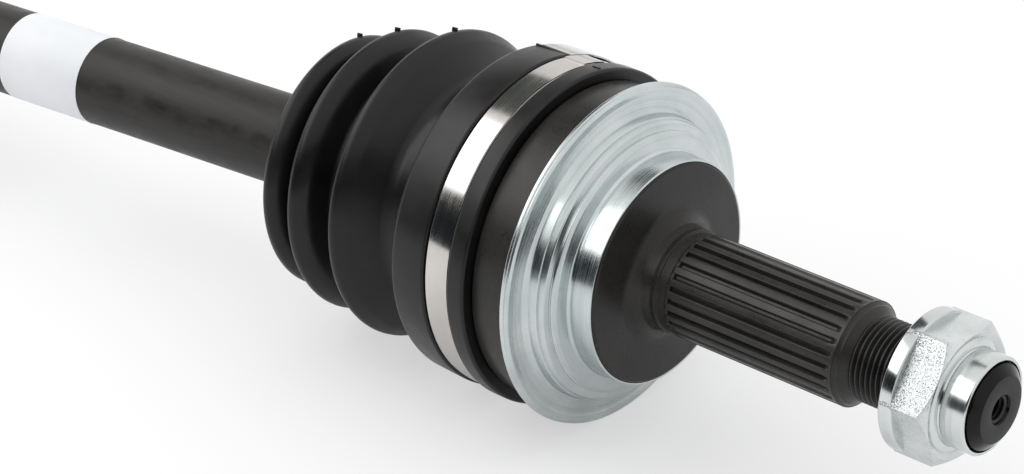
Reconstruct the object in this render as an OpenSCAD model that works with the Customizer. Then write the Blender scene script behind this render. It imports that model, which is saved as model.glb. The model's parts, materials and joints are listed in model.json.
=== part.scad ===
/* [Outer joint] */
// Distance from the hub face back to the centre of the outer joint
joint_depth = 33; // [31:0.5:36]
// Radius of a drive ball
ball_r = 7.94; // [7.4:0.02:8.2]
// Number of drive balls
ball_count = 6; // [6:1:6]
// Radius of the circle through the ball centres
ball_pitch_r = 28.5; // [28:0.1:29]
// Offset of the outer and inner track centres from the joint centre
track_offset = 1; // [0.5:0.1:1.1]
// Radial room between a ball and its track
track_gap = 1; // [1:0.05:1.1]
// Outer spherical radius of the ball cage
cage_r = 32.4; // [32:0.1:33]
// Wall of the ball cage
cage_wall = 4.2; // [3.8:0.1:4.5]
// Width of the ball cage
cage_w = 25; // [24:0.5:26]
// Width of the inner race
race_w = 20; // [18:0.5:20]
// Largest bend of the outer joint from straight
outer_bend_max = 40; // [30:1:40]
// Depth of the bell ahead of the joint centre
bell_depth = 25.5; // [25.5:0.5:27]
// Depth of the bell behind the joint centre, to its mouth
mouth_depth = 15; // [14:0.5:16]

/* [Outer housing] */
// Radius of the boot seat on the bell
boot_seat_r = 41; // [40.5:0.1:41.5]
// Radius of the bell ahead of the boot seat
bell_r = 42.3; // [42:0.1:43]
// Distance from the hub face back to the end of the boot seat
boot_seat_x = 28.2; // [27:0.1:30]
// Distance from the hub face back to the shoulder that the dust shield meets
shield_seat_x = 15.6; // [15:0.1:16.5]
// Radius of the boss that ends in the hub face
boss_r = 29.2; // [28.5:0.1:30]
// Length of the boss behind the hub face
boss_len = 8.4; // [8:0.1:9]
// Outer radius of the stepped dust shield
shield_r = 45.5; // [45.5:0.1:47]
// Sheet thickness of the dust shield
shield_t = 1.2; // [0.8:0.1:1.4]
// Distance from the hub face back to the front edge of the shield's collar
shield_setback = 0.4; // [0.3:0.1:2]
// Radius of the bell's step that the shield is formed over
shield_step_r = 37; // [36.8:0.1:37.4]
// Width of that step
shield_step_w = 3.2; // [3:0.1:3.4]
// Fall of the radius from that step to the flare
shield_step_drop = 3; // [2.8:0.1:3.2]

/* [Outer stub] */
// Radius of the blend where the stub leaves the hub face
root_fillet = 4.6; // [3:0.1:5]
// Radius of the raised lip ring at the root of the stub
lip_r = 15; // [14.5:0.1:16]
// Distance from the hub face to the front of the lip ring
lip_x = 5; // [4.5:0.1:6]
// Tip radius of the stub spline
spline_r = 13.6; // [13.4:0.1:14]
// Depth of the spline grooves
spline_depth = 1.1; // [0.8:0.1:1.4]
// Step from the spline's root down to the plain rod beside it
root_step = 0.15; // [0.1:0.05:0.3]
// Number of spline teeth
spline_teeth = 26; // [24:1:28]
// Start of the spline ahead of the hub face
spline_start = 8; // [7:0.5:10]
// End of the spline grooves ahead of the hub face
spline_end = 56; // [50:0.5:58]
// Step from the spline's tips down to the plain band after it
band_step = 0.2; // [0.1:0.05:0.4]
// Length of the plain band between the spline and the end cone
band_len = 4; // [3:0.5:5]
// Length of the cone down to the thread
cone_len = 3; // [2:0.5:4]
// Radius of the stub thread
thread_r = 11; // [10:0.5:12]
// Length from the hub face to the end of the stub
stub_len = 99.8; // [96:0.2:102]
// Radial depth of the bevel on the stub's end
end_bevel = 2.4; // [1:0.1:3]
// Length of that bevel
end_bevel_len = 1.9; // [1:0.1:2.2]
// Radius of the tapped centre hole, at its core
centre_hole_r = 3.4; // [2.5:0.1:3.5]
// Depth of the tapped centre hole
centre_hole_len = 14; // [10:1:18]
// Countersink at the mouth of the centre hole
hole_bevel = 0.6; // [0.4:0.1:1]

/* [Axle nut] */
// Distance from the end of the stub back to the back of the nut
nut_setback = 22.4; // [20:0.2:23]
// Width across the flats of the nut
nut_af = 32; // [30:0.5:34]
// Height of the hexagon with its washer face
nut_hex_h = 11.4; // [10:0.2:12]
// Height of the washer face
nut_washer_h = 1.6; // [1:0.1:2.4]
// Outer radius of the staking collar
nut_collar_r = 12.4; // [12.2:0.1:13]
// Height of the staking collar beyond the hexagon
nut_collar_h = 8.8; // [7:0.2:9]
// Depth of the chamfer on the corners of the nut
nut_chamfer = 2.6; // [1.5:0.1:3]
// Turn of the hexagon about the stub
nut_turn = -5; // [-30:1:30]
// Room between the thread and the nut
nut_gap = 0.05; // [0.02:0.01:0.08]

/* [Bar] */
// Distance between the centres of the two joints
joint_span = 440; // [420:5:500]
// Radius of the bar
bar_r = 12.6; // [12.5:0.1:13]
// Radius of the splined bar ends
bar_end_r = 12.3; // [12.1:0.1:12.4]
// Radius of the necks beside the joints
neck_r = 11.5; // [11:0.1:11.6]
// Length of bar end that stands out past the inner race
bar_end_past = 6; // [5:0.5:6]
// Length and depth of the taper on the bar's end in the spider, which clears the rollers
spider_end_taper = 2.4; // [2.2:0.1:3]
// Distance from the outer joint centre to the end of its neck
outer_neck_end = 62; // [55:1:66]
// Distance from the inner joint centre to the end of its neck
inner_neck_end = 60; // [50:1:62]
// Length of the cones from the necks to the bar
neck_cone = 5; // [4:0.5:6]
// Bend of the outer joint as the shaft lies
rest_bend = 5; // [0:1:8]
// Roll of the bend's axis from upright
rest_roll = 10; // [0:1:15]
// Distance from the outer joint centre to the paper label
label_x = 162; // [150:1:200]
// Width of the paper label
label_w = 30; // [20:1:40]
// Thickness of the paper label
label_t = 0.15; // [0.1:0.05:0.3]

/* [Outer boot] */
// Wall of the boot's folds
boot_wall = 2; // [1.6:0.1:2.4]
// Wall of the boot under its clamps
boot_clamp_wall = 2.6; // [2.2:0.1:3]
// Distance from the hub face to the rear of the large collar
collar_rear = 54; // [53:0.2:56]
// Radius of the flanges each side of the large clamp
collar_flange_r = 45.3; // [44.8:0.1:45.4]
// Distance from the hub face to the middle of the large clamp
clamp_x = 38.2; // [37:0.1:39]
// Width of the large clamp band
clamp_w = 7.2; // [6:0.1:8]
// Thickness of a clamp band
clamp_t = 0.8; // [0.5:0.1:1]
// Width of a clamp's folded ear, measured round the band
ear_w = 8; // [7:0.5:8]
// Crest radius of the largest fold
fold_r_first = 42.6; // [42:0.1:43.2]
// Crest radius of the smallest fold
fold_r_last = 35.1; // [34:0.1:36]
// Distance from the hub face to the crest of the largest fold
fold_x_first = 77.7; // [76.5:0.1:78.5]
// Distance between the crests of the two largest folds
fold_pitch = 17; // [16:0.1:17.5]
// Share of one fold's pitch that the next one has
fold_shrink = 0.67; // [0.65:0.01:0.7]
// Number of folds
fold_count = 3; // [3:1:3]
// Depth of the valleys between the folds
fold_depth = 10; // [8:0.5:11]
// Depth of the waist between the large collar and the largest fold
waist_depth = 11; // [10:0.5:11.5]
// Distance from the hub face to the small end's rear edge
small_end_rear = 121; // [119:0.5:124]
// Length of the boot's small end
small_end_len = 9; // [8:0.5:10]

/* [Inner joint] */
// Pitch radius of the three rollers
tripod_r = 22.5; // [22.3:0.1:22.7]
// Radius of the ball on each trunnion
trunnion_r = 10; // [9.5:0.1:10.2]
// Radius of the neck under the trunnion's ball
trunnion_neck_r = 6.6; // [6.2:0.1:6.8]
// Outer radius of a trunnion's inner ring
inner_ring_r = 12.2; // [12:0.1:12.4]
// Width of a trunnion's inner ring and needles
inner_ring_w = 8; // [7.5:0.5:8]
// Diameter of a needle
needle_d = 2; // [1.8:0.1:2.2]
// Number of needles round each trunnion
needle_count = 30; // [24:1:30]
// Outer radius of a roller
roller_r = 16.5; // [16.3:0.1:16.7]
// Width of a roller
roller_w = 12; // [11:0.5:12]
// Thickness of the clips that hold the needles in a roller
clip_t = 1.2; // [1:0.1:1.2]
// Outer radius of the spider's hub
spider_r = 15; // [14.8:0.1:15.2]
// Width of the spider's hub
spider_w = 20; // [18:0.5:20]
// Bevel on the edges of the spider's hub
spider_bevel = 3; // [2.8:0.1:3.4]
// Depth of a trunnion's root inside the spider's hub
trunnion_root = 2.4; // [2.2:0.1:2.5]
// Sideways room between a roller and its track
roller_gap = 0.9; // [0.8:0.05:1]
// Room between a roller's faces and its track
track_room = 1.5; // [1.4:0.05:1.6]
// Outer radius of the inner housing
housing_r = 38; // [37.5:0.1:38]
// Radius of the inner boot's seat
inner_seat_r = 36; // [36:0.1:36.5]
// Length of the inner boot's seat
inner_seat_len = 14; // [12:0.5:16]
// Distance from the spider to the mouth of the housing
housing_mouth = 24; // [22:0.5:26]
// Distance from the spider to the housing's closed end
housing_depth = 49; // [48:0.5:55]
// Thickness of the closed end
housing_floor = 8; // [6:0.5:12]
// Radius of the bore between the tracks
land_r = 24; // [23.5:0.1:24.5]
// Radius of the bore at the mouth
mouth_r = 30; // [29:0.1:31]
// Largest bend of the inner joint
inner_bend_max = 20; // [10:1:20]
// Largest plunge of the inner joint each way
plunge_max = 20; // [10:1:20]

/* [Inner stub] */
// Radius of the boss behind the closed end
inner_boss_r = 24; // [22:0.5:27]
// Length of that boss
inner_boss_len = 9; // [6:0.5:12]
// Radius of the journal that the oil seal runs on
seal_r = 17.5; // [16:0.5:19]
// Length of the seal journal
seal_len = 20; // [14:1:26]
// Tip radius of the inner stub's spline
inner_spline_r = 13; // [12:0.1:14]
// Length of the inner stub's spline
inner_spline_len = 38; // [30:1:45]
// Number of teeth on the inner stub
inner_teeth = 27; // [24:1:30]

/* [Inner boot] */
// Crest radius of the inner boot's largest fold
inner_fold_first = 36; // [34:0.5:37]
// Crest radius of the inner boot's smallest fold
inner_fold_last = 21; // [20:0.5:24]
// Number of folds on the inner boot
inner_fold_count = 6; // [5:1:6]
// Depth of the inner boot's valleys
inner_fold_depth = 5; // [4:0.5:6]
// Distance from the spider to the inner boot's small end
inner_small_end = 102; // [98:1:110]

/* [Fits] */
// Room between pieces that are pressed or splined together
seat_gap = 0.02; // [0.01:0.01:0.04]
// Room between a rubber boot and what carries it
rubber_gap = 0.1; // [0.05:0.05:0.2]
// Room between a boot's end and a piece that it can move against
soft_gap = 0.3; // [0.25:0.05:0.35]
// Radial running room in the spherical fits
running_gap = 0.1; // [0.05:0.01:0.1]
// Width of a snap ring
ring_w = 1.6; // [1.2:0.1:2]
// Chamfer on turned edges
edge = 1; // [0.6:0.1:1.2]

/* [Hidden] */
$fn = 96;
tiny = 0.01;
past = 1;

black_steel = [0.10, 0.10, 0.11];
zinc = [0.72, 0.75, 0.76];
rubber = [0.06, 0.06, 0.07];
bright = [0.78, 0.78, 0.80];
bar_paint = [0.16, 0.15, 0.14];

nut_x = stub_len - nut_setback;
cage_bore_r = cage_r - cage_wall;
race_r = cage_bore_r - running_gap;
bell_bore_r = cage_r + running_gap;
track_r = ball_r + track_gap;
track_path_r = sqrt(ball_pitch_r * ball_pitch_r + track_offset * track_offset);
track_stop = outer_bend_max / 2 + asin(ball_r / ball_pitch_r) + 0.5;
track_open = 62;
needle_r = needle_d / 2;
needle_gap = 0.03;
needle_path_r = inner_ring_r + needle_gap + needle_r;
roller_bore_r = needle_path_r + needle_r + needle_gap;
roller_path = plunge_max + tripod_r * sin(inner_bend_max);
ring_depth = 1.1;
ring_gap = 0.1;
ring_seat_len = 2 * ring_gap + ring_w + 0.3;
ring_opening = 24;
trunnions = [90, 210, 330];
roller_crown_r = 30;
small_boot_r = bar_r + soft_gap + boot_clamp_wall;
ring_half = inner_ring_w / 2;
clip_gap = 0.15;
ear_sink = 0.5;

// Turns a shape drawn along Z so that it runs along X
module along_x() {
    rotate([0, 90, 0]) children();
}

// Solid of revolution about X from points given as [x, radius]
module turned(points) {
    along_x() rotate_extrude() polygon([for (p = points) [p[1], p[0]]]);
}

// Ring about X between two radii and two places
module ring(x0, x1, inside, outside) {
    turned([[x0, inside], [x1, inside], [x1, outside], [x0, outside]]);
}

// Frame of the outer joint, with the joint centre as its origin
module at_joint() {
    translate([-joint_depth, 0, 0]) children();
}

// Frame of the bar as the shaft lies, with X along the bar
module at_bar() {
    at_joint() rotate([rest_roll, 0, 0]) rotate([0, 0, rest_bend]) children();
}

// Frame of the cage, half way between the stub and the bar
module at_cage() {
    at_joint() rotate([rest_roll, 0, 0]) rotate([0, 0, rest_bend / 2]) children();
}

// Frame of the spider on the inner end of the bar
module at_spider() {
    at_bar() translate([-joint_span, 0, 0]) children();
}

// Points of an arc from angle a0 to a1, as [x, radius]
function arc(cx, cr, r, a0, a1, n) =
    [for (i = [0 : n]) let (a = a0 + (a1 - a0) * i / n) [cx + r * cos(a), cr + r * sin(a)]];

// Toothed outline with straight flanks
function tooth_outline(teeth, tip, root) =
    [for (i = [0 : teeth - 1]) for (k = [[-0.34, 0], [-0.17, 1], [0.17, 1], [0.34, 0]])
        let (a = (i + k[0]) * 360 / teeth, r = k[1] == 1 ? tip : root)
            [r * cos(a), r * sin(a)]];

// Splined rod along X from x0 to x1, with its ends bevelled to the root
module splined(x0, x1, teeth, tip, depth) {
    intersection() {
        translate([x0, 0, 0]) along_x() linear_extrude(x1 - x0)
            polygon(tooth_outline(teeth, tip, tip - depth));
        turned([
            [x0, 0], [x1, 0], [x1, tip - depth * 0.6],
            [x1 - depth, tip + tiny], [x0 + depth, tip + tiny], [x0, tip - depth * 0.6]
        ]);
    }
}

// One ball groove, an arc in the XY plane that opens towards the bar
module track_cut(offset_x, stop) {
    translate([offset_x, 0, 0]) rotate([0, 0, 90 - stop])
        rotate_extrude(angle = stop + track_open)
            translate([track_path_r, 0]) circle(track_r);
}

// Slice of a sphere about X, from x0 to x1
module sphere_slice(r, x0, x1) {
    along_x() rotate_extrude() intersection() {
        circle(r);
        translate([0, x0]) square([r + past, x1 - x0]);
    }
}

// Snap ring with an opening, round the X axis from x to x + ring_w
module snap_ring(x, seat_r) {
    translate([x, 0, 0]) along_x() rotate([0, 0, ring_opening / 2])
        rotate_extrude(angle = 360 - ring_opening)
            translate([seat_r - ring_depth + ring_gap, 0]) square([ring_depth + ring_gap, ring_w]);
}

// Groove for a snap ring
module ring_groove(x, seat_r) {
    ring(x - ring_gap, x + ring_w + ring_gap, seat_r - ring_depth, seat_r + past);
}

// Steps under the dust shield from place x forward, moved out by grow
function shield_steps(x, grow) = [
    [x, shield_step_r + grow], [x + shield_step_w, shield_step_r - 0.8 + grow],
    [x + shield_step_w + 2, shield_step_r - shield_step_drop + grow]
];

module bell_outside() {
    mouth_x = -joint_depth - mouth_depth;
    turned([
        [mouth_x, 0], [mouth_x, boot_seat_r - edge], [mouth_x + edge, boot_seat_r],
        [-boot_seat_x, boot_seat_r], [-boot_seat_x, bell_r],
        [-shield_seat_x - edge, bell_r], [-shield_seat_x, bell_r - edge],
        each shield_steps(-shield_seat_x, 0), [-boss_len, boss_r + seat_gap],
        [-boss_len, boss_r], [-edge / 2, boss_r], [0, boss_r - edge / 2], [0, 0]
    ]);
}

module bell_inside() {
    sphere_slice(bell_bore_r, -mouth_depth - past, bell_depth);
    mouth_bore = sqrt(bell_bore_r * bell_bore_r - mouth_depth * mouth_depth);
    turned([
        [-mouth_depth - past, 0], [-mouth_depth - past, mouth_bore + past + edge],
        [-mouth_depth + edge, mouth_bore - past + edge], [-mouth_depth + edge, 0]
    ]);
}

module stub() {
    thread_start = spline_end + band_len + cone_len;
    neck_root_r = spline_r - spline_depth - root_step;
    turned(concat(
        [[-past, 0], [-past, lip_r + root_fillet], [0, lip_r + root_fillet]],
        arc(root_fillet, lip_r + root_fillet, root_fillet, 180, 228, 6),
        [
            [lip_x - 1.6, lip_r], [lip_x - 0.4, lip_r], [lip_x, lip_r - 0.5],
            [lip_x + 1, neck_root_r], [spline_start + tiny, neck_root_r], [spline_start + tiny, 0]
        ]
    ));
    splined(spline_start, spline_end, spline_teeth, spline_r, spline_depth);
    turned([
        [spline_end - past, 0], [spline_end - past, spline_r - band_step],
        [spline_end + band_len, spline_r - band_step], [thread_start, thread_r],
        [stub_len - end_bevel_len, thread_r], [stub_len, thread_r - end_bevel], [stub_len, 0]
    ]);
}

module outer_race() {
    color(black_steel) difference() {
        union() {
            bell_outside();
            stub();
        }
        at_joint() rotate([rest_roll, 0, 0]) {
            bell_inside();
            for (i = [0 : ball_count - 1])
                rotate([i * 360 / ball_count, 0, 0]) track_cut(-track_offset, track_stop);
        }
        translate([stub_len - centre_hole_len, 0, 0]) along_x()
            cylinder(h = centre_hole_len + past, r = centre_hole_r);
        turned([
            [stub_len - hole_bevel, 0], [stub_len - hole_bevel, centre_hole_r],
            [stub_len + tiny, centre_hole_r + hole_bevel], [stub_len + tiny, 0]
        ]);
    }
}

// Stepped sheet pressed on the boss, with a collar up to the hub face and a rolled outer rim
module dust_shield() {
    front = -shield_seat_x + seat_gap;
    t = shield_t;
    outer_steps = shield_steps(front + t + 0.2, t);
    color(zinc) turned([
        [-boss_len - t / 2, boss_r + seat_gap], [-shield_setback, boss_r + seat_gap],
        [-shield_setback, boss_r + t / 2], [-boss_len + t, boss_r + t * 2 / 3],
        outer_steps[2], outer_steps[1], [front + t + 0.3, shield_step_r + t + 0.1],
        [front + t, shield_step_r + 2], [front + t, shield_r - 0.5],
        [front + t - 0.5, shield_r], [front - 0.5, shield_r], [front - 0.5, shield_r - t],
        [front, shield_r - t], each shield_steps(front, seat_gap)
    ]);
}

module inner_race() {
    color(bright) at_bar() difference() {
        sphere_slice(race_r, -race_w / 2, race_w / 2);
        translate([-race_w / 2 - past, 0, 0]) along_x()
            cylinder(h = race_w + 2 * past, r = bar_end_r + seat_gap);
        for (i = [0 : ball_count - 1])
            rotate([i * 360 / ball_count, 0, 0]) track_cut(track_offset, track_open);
    }
}

module cage_window() {
    half = ball_r + running_gap;
    long = ball_r * 1.25;
    corner = 4;
    translate([0, 0, cage_bore_r * 0.7]) linear_extrude(cage_r) union() {
        square([2 * half - 2 * corner, 2 * long], center = true);
        square([2 * half, 2 * long - 2 * corner], center = true);
        for (sx = [-1, 1], sy = [-1, 1])
            translate([sx * (half - corner), sy * (long - corner)]) circle(corner);
    }
}

module ball_cage() {
    color(bright) at_cage() difference() {
        sphere_slice(cage_r, -cage_w / 2, cage_w / 2);
        sphere_slice(cage_bore_r, -cage_w / 2 - past, cage_w / 2 + past);
        for (i = [0 : ball_count - 1])
            rotate([i * 360 / ball_count - 90, 0, 0]) cage_window();
    }
}

module joint_balls() {
    color(bright) at_cage() for (i = [0 : ball_count - 1])
        rotate([i * 360 / ball_count, 0, 0]) translate([0, ball_pitch_r, 0]) sphere(ball_r);
}

module race_circlip() {
    color(bright) at_bar() snap_ring(race_w / 2 + ring_gap, bar_end_r);
}

module race_stop_ring() {
    color(bright) at_bar() snap_ring(-race_w / 2 - ring_gap - ring_w, bar_end_r);
}

module bar() {
    outer_end = race_w / 2 + bar_end_past;
    inner_end = spider_w / 2 + ring_seat_len + spider_end_taper;
    color(bar_paint) at_bar() difference() {
        turned([
            [outer_end, 0], [outer_end, bar_end_r - edge], [outer_end - edge, bar_end_r],
            [-race_w / 2 - 4, bar_end_r], [-race_w / 2 - 5, neck_r], [-outer_neck_end, neck_r],
            [-outer_neck_end - neck_cone, bar_r],
            [-joint_span + inner_neck_end + neck_cone, bar_r],
            [-joint_span + inner_neck_end, neck_r],
            [-joint_span + spider_w / 2 + ring_seat_len + edge, neck_r],
            [-joint_span + spider_w / 2 + ring_seat_len, bar_end_r],
            [-joint_span - inner_end + spider_end_taper, bar_end_r],
            [-joint_span - inner_end, bar_end_r - spider_end_taper], [-joint_span - inner_end, 0]
        ]);
        ring_groove(race_w / 2 + ring_gap, bar_end_r);
        ring_groove(-race_w / 2 - ring_gap - ring_w, bar_end_r);
        ring_groove(-joint_span + spider_w / 2 + ring_gap, bar_end_r);
        ring_groove(-joint_span - spider_w / 2 - ring_gap - ring_w, bar_end_r);
    }
}

module paper_label() {
    color("white") at_bar()
        ring(-label_x - label_w, -label_x, bar_r + seat_gap, bar_r + seat_gap + label_t);
}

// Outline of the outer boot from its front edge to its small end, as [x, radius]
fold_x = [for (i = [0 : fold_count - 1])
    -fold_x_first - fold_pitch * (1 - pow(fold_shrink, i)) / (1 - fold_shrink)];
fold_r = [for (i = [0 : fold_count - 1])
    fold_r_first + (fold_r_last - fold_r_first) * (fold_x[0] - fold_x[i]) / (fold_x[0] - fold_x[fold_count - 1])];
crest_r = 2;
clamp_seat_r = boot_seat_r + rubber_gap + boot_clamp_wall;
waist_x = -(collar_rear + fold_x_first) / 2;
waist_r = collar_flange_r - waist_depth;
waist_half = 3;

// Crest of fold i, moved in by t, with its front flank first
function crest(i, t) = [
    [fold_x[i] + crest_r * 1.5, fold_r[i] - crest_r * 0.7 - t],
    [fold_x[i] + crest_r * 0.5, fold_r[i] - t],
    [fold_x[i] - crest_r * 0.5, fold_r[i] - 0.1 - t],
    [fold_x[i] - crest_r, fold_r[i] - crest_r * 0.5 - t]
];

// Valley behind fold i, moved in by t
function valley(i, t) =
    let (x = (fold_x[i] * 2 + fold_x[i + 1]) / 3, r = fold_r[i + 1] - fold_depth)
        [[x + 1.2, r - t], [x - 1.2, r - t]];

function boot_folds(t) = [for (i = [0 : fold_count - 1])
    each concat(crest(i, t), i < fold_count - 1 ? valley(i, t) : [])];

boot_outside = concat(
    [
        [-boot_seat_x - 0.4, clamp_seat_r], [-boot_seat_x - 0.4, collar_flange_r - 1],
        [-boot_seat_x - 1.4, collar_flange_r], [-clamp_x + clamp_w / 2 + 1, collar_flange_r],
        [-clamp_x + clamp_w / 2 + 0.4, clamp_seat_r], [-clamp_x - clamp_w / 2 - 0.4, clamp_seat_r],
        [-clamp_x - clamp_w / 2 - 1, collar_flange_r - 0.6], [-collar_rear + 3, collar_flange_r - 0.6],
        [-collar_rear, collar_flange_r - 1.2], [-collar_rear - 1, collar_flange_r - 3],
        [waist_x + waist_half, waist_r + 1], [waist_x, waist_r], [waist_x - waist_half, waist_r + 1]
    ],
    boot_folds(0),
    [
        [-small_end_rear + small_end_len + 1, small_boot_r + 2],
        [-small_end_rear + small_end_len, small_boot_r], [-small_end_rear, small_boot_r]
    ]
);
boot_inside = concat(
    [
        [-boot_seat_x - 0.4, boot_seat_r + rubber_gap],
        [-joint_depth - mouth_depth - soft_gap, boot_seat_r + rubber_gap],
        [-collar_rear, collar_flange_r - 5],
        [waist_x + waist_half, waist_r + 0.8 - boot_wall], [waist_x, waist_r - boot_wall],
        [waist_x - waist_half, waist_r + 0.8 - boot_wall]
    ],
    boot_folds(boot_wall),
    [
        [-small_end_rear + small_end_len + 0.4, bar_r + soft_gap + 1],
        [-small_end_rear + small_end_len - 1, bar_r + soft_gap], [-small_end_rear, bar_r + soft_gap]
    ]
);
boot_sides = 32;
// The inside is widened so that its flat sides clear round pieces
boot_loop = concat(boot_outside, [for (i = [len(boot_inside) - 1 : -1 : 0])
    [boot_inside[i][0], boot_inside[i][1] / cos(180 / boot_sides)]]);

// Share of the rest bend that the boot has taken up at a place along it
function boot_share(x) =
    let (t = max(0, min(1, (-collar_rear - x) / (small_end_rear - small_end_len - collar_rear))))
        t * t * (3 - 2 * t);

// Point of the boot at place x, radius r and angle a round it, bent with the joint
function boot_point(x, r, a) =
    let (
        bend = rest_bend * boot_share(x),
        px = x + joint_depth,
        py = r * cos(a - rest_roll),
        pz = r * sin(a - rest_roll),
        qx = px * cos(bend) - py * sin(bend),
        qy = px * sin(bend) + py * cos(bend)
    )
        [
            qx - joint_depth, qy * cos(rest_roll) - pz * sin(rest_roll),
            qy * sin(rest_roll) + pz * cos(rest_roll)
        ];

module outer_boot() {
    n = len(boot_loop);
    points = [for (s = [0 : boot_sides - 1]) for (p = boot_loop)
        boot_point(p[0], p[1], s * 360 / boot_sides)];
    faces = [for (s = [0 : boot_sides - 1]) for (i = [0 : n - 1])
        let (t = (s + 1) % boot_sides, k = (i + 1) % n)
            [s * n + i, t * n + i, t * n + k, s * n + k]];
    color(rubber) polyhedron(points = points, faces = faces, convexity = 10);
}

// Band with its folded ear
module clamp_band(x, seat_r, w, ear_turn) {
    ring(x - w / 2, x + w / 2, seat_r, seat_r + clamp_t);
    rotate([ear_turn, 0, 0]) translate([x - w / 2, -ear_w / 2, seat_r + clamp_t - ear_sink])
        cube([w, ear_w, ear_sink + clamp_t / 2]);
}

module outer_clamp_large() {
    color(bright) clamp_band(-clamp_x, clamp_seat_r + seat_gap, clamp_w, 0);
}

module outer_clamp_small() {
    color(bright) at_bar()
        clamp_band(-small_end_rear + joint_depth + small_end_len / 2, small_boot_r + soft_gap,
            small_end_len - 3, 0);
}

module axle_nut() {
    corner_r = nut_af / 2 / cos(30);
    top = nut_hex_h;
    color(zinc) translate([nut_x, 0, 0]) difference() {
        union() {
            intersection() {
                rotate([nut_turn, 0, 0]) along_x() rotate([0, 0, 90])
                    cylinder(h = top, r = corner_r, $fn = 6);
                turned([
                    [0, 0], [top, 0], [top, nut_af / 2 - 0.3],
                    [top - nut_chamfer, corner_r + tiny], [0, corner_r + tiny]
                ]);
            }
            ring(0, nut_washer_h, thread_r, corner_r - 0.2);
            turned([
                [top - past, 0], [top - past, nut_collar_r + 0.8], [top, nut_collar_r + 0.8],
                [top + 1.4, nut_collar_r], [top + nut_collar_h - 0.6, nut_collar_r],
                [top + nut_collar_h, nut_collar_r - 0.6], [top + nut_collar_h, 0]
            ]);
        }
        translate([-past, 0, 0]) along_x()
            cylinder(h = top + nut_collar_h + 2 * past, r = thread_r + nut_gap);
    }
}

module roller_track() {
    reach = roller_path + roller_r + 2;
    translate([-reach, 0, 0]) along_x() rotate([0, 0, 90])
        linear_extrude(reach + housing_mouth + past)
        intersection() {
            translate([tripod_r - roller_w / 2 - track_room, -roller_r - roller_gap])
                square([roller_w + 2 * track_room, 2 * (roller_r + roller_gap)]);
            translate([tripod_r, 0]) circle(roller_r + roller_gap + 0.9);
        }
}

module inner_housing() {
    depth = housing_depth + housing_floor;
    boss_end = depth + inner_boss_len;
    seal_end = boss_end + seal_len;
    stub_end = seal_end + inner_spline_len;
    color(black_steel) at_spider() difference() {
        union() {
            turned([
                [housing_mouth, 0], [housing_mouth, inner_seat_r - edge],
                [housing_mouth - edge, inner_seat_r], [housing_mouth - inner_seat_len, inner_seat_r],
                [housing_mouth - inner_seat_len, housing_r - edge],
                [housing_mouth - inner_seat_len - edge, housing_r],
                [-depth + 5, housing_r], [-depth, housing_r - 6],
                [-depth - 1, inner_boss_r + 2], [-depth - 3, inner_boss_r],
                [-boss_end, inner_boss_r], [-boss_end, seal_r],
                [-seal_end + edge, seal_r], [-seal_end, seal_r - edge],
                [-seal_end - 3, inner_spline_r - spline_depth - root_step],
                [-seal_end - 3 - past, inner_spline_r - spline_depth - root_step],
                [-seal_end - 3 - past, 0]
            ]);
            splined(-stub_end, -seal_end - 3, inner_teeth, inner_spline_r, spline_depth);
        }
        for (a = trunnions) rotate([a, 0, 0]) roller_track();
        turned([
            [-housing_depth, 0], [-housing_depth, land_r - 2], [-housing_depth + 2, land_r],
            [housing_mouth - 17, land_r], [housing_mouth + tiny, mouth_r], [housing_mouth + past, 0]
        ]);
        ring_groove(-stub_end + 6, inner_spline_r - spline_depth / 2);
    }
}

module inner_dust_ring() {
    x = -housing_depth - housing_floor - inner_boss_len;
    color(zinc) at_spider() turned([
        [x, inner_boss_r + seat_gap], [x + 4, inner_boss_r + seat_gap],
        [x + 4, inner_boss_r + shield_t], [x + shield_t, inner_boss_r + shield_t],
        [x + shield_t, inner_boss_r + 8], [x, inner_boss_r + 8]
    ]);
}

module stub_circlip() {
    x = -housing_depth - housing_floor - inner_boss_len - seal_len - inner_spline_len + 6;
    color(bright) at_spider() snap_ring(x, inner_spline_r - spline_depth / 2);
}

// Trunnion along Z from inside the hub, with a ball that the inner ring rides on
module trunnion() {
    start = spider_r - trunnion_root;
    rotate_extrude() intersection() {
        union() {
            translate([0, tripod_r]) circle(trunnion_r);
            translate([0, start]) square([trunnion_neck_r, tripod_r - start]);
        }
        translate([0, start]) square([trunnion_r + past, tripod_r + roller_w / 2 - start]);
    }
}

module spider() {
    color(bright) at_spider() difference() {
        union() {
            turned([
                [-spider_w / 2, 0], [-spider_w / 2, spider_r - spider_bevel * 0.7],
                [-spider_w / 2 + spider_bevel, spider_r], [spider_w / 2 - spider_bevel, spider_r],
                [spider_w / 2, spider_r - spider_bevel * 0.7], [spider_w / 2, 0]
            ]);
            for (a = trunnions) rotate([a, 0, 0]) rotate([-90, 0, 0]) trunnion();
        }
        translate([-spider_w / 2 - past, 0, 0]) along_x()
            cylinder(h = spider_w + 2 * past, r = bar_end_r + seat_gap);
    }
}

module spider_circlip() {
    color(bright) at_spider() snap_ring(-spider_w / 2 - ring_gap - ring_w, bar_end_r);
}

module spider_stop_ring() {
    color(bright) at_spider() snap_ring(spider_w / 2 + ring_gap, bar_end_r);
}

// Places a roller's pieces, drawn about Z with their middle at the origin
module at_trunnion(i) {
    at_spider() rotate([trunnions[i], 0, 0]) translate([0, tripod_r, 0])
        rotate([-90, 0, 0]) children();
}

module inner_ring(i) {
    color(bright) at_trunnion(i) difference() {
        translate([0, 0, -ring_half]) cylinder(h = 2 * ring_half, r = inner_ring_r);
        sphere(trunnion_r + running_gap / 2);
    }
}

module needles(i) {
    color(bright) at_trunnion(i) for (k = [0 : needle_count - 1])
        rotate([0, 0, k * 360 / needle_count])
            translate([needle_path_r, 0, -ring_half]) cylinder(h = 2 * ring_half, r = needle_r);
}

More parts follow.
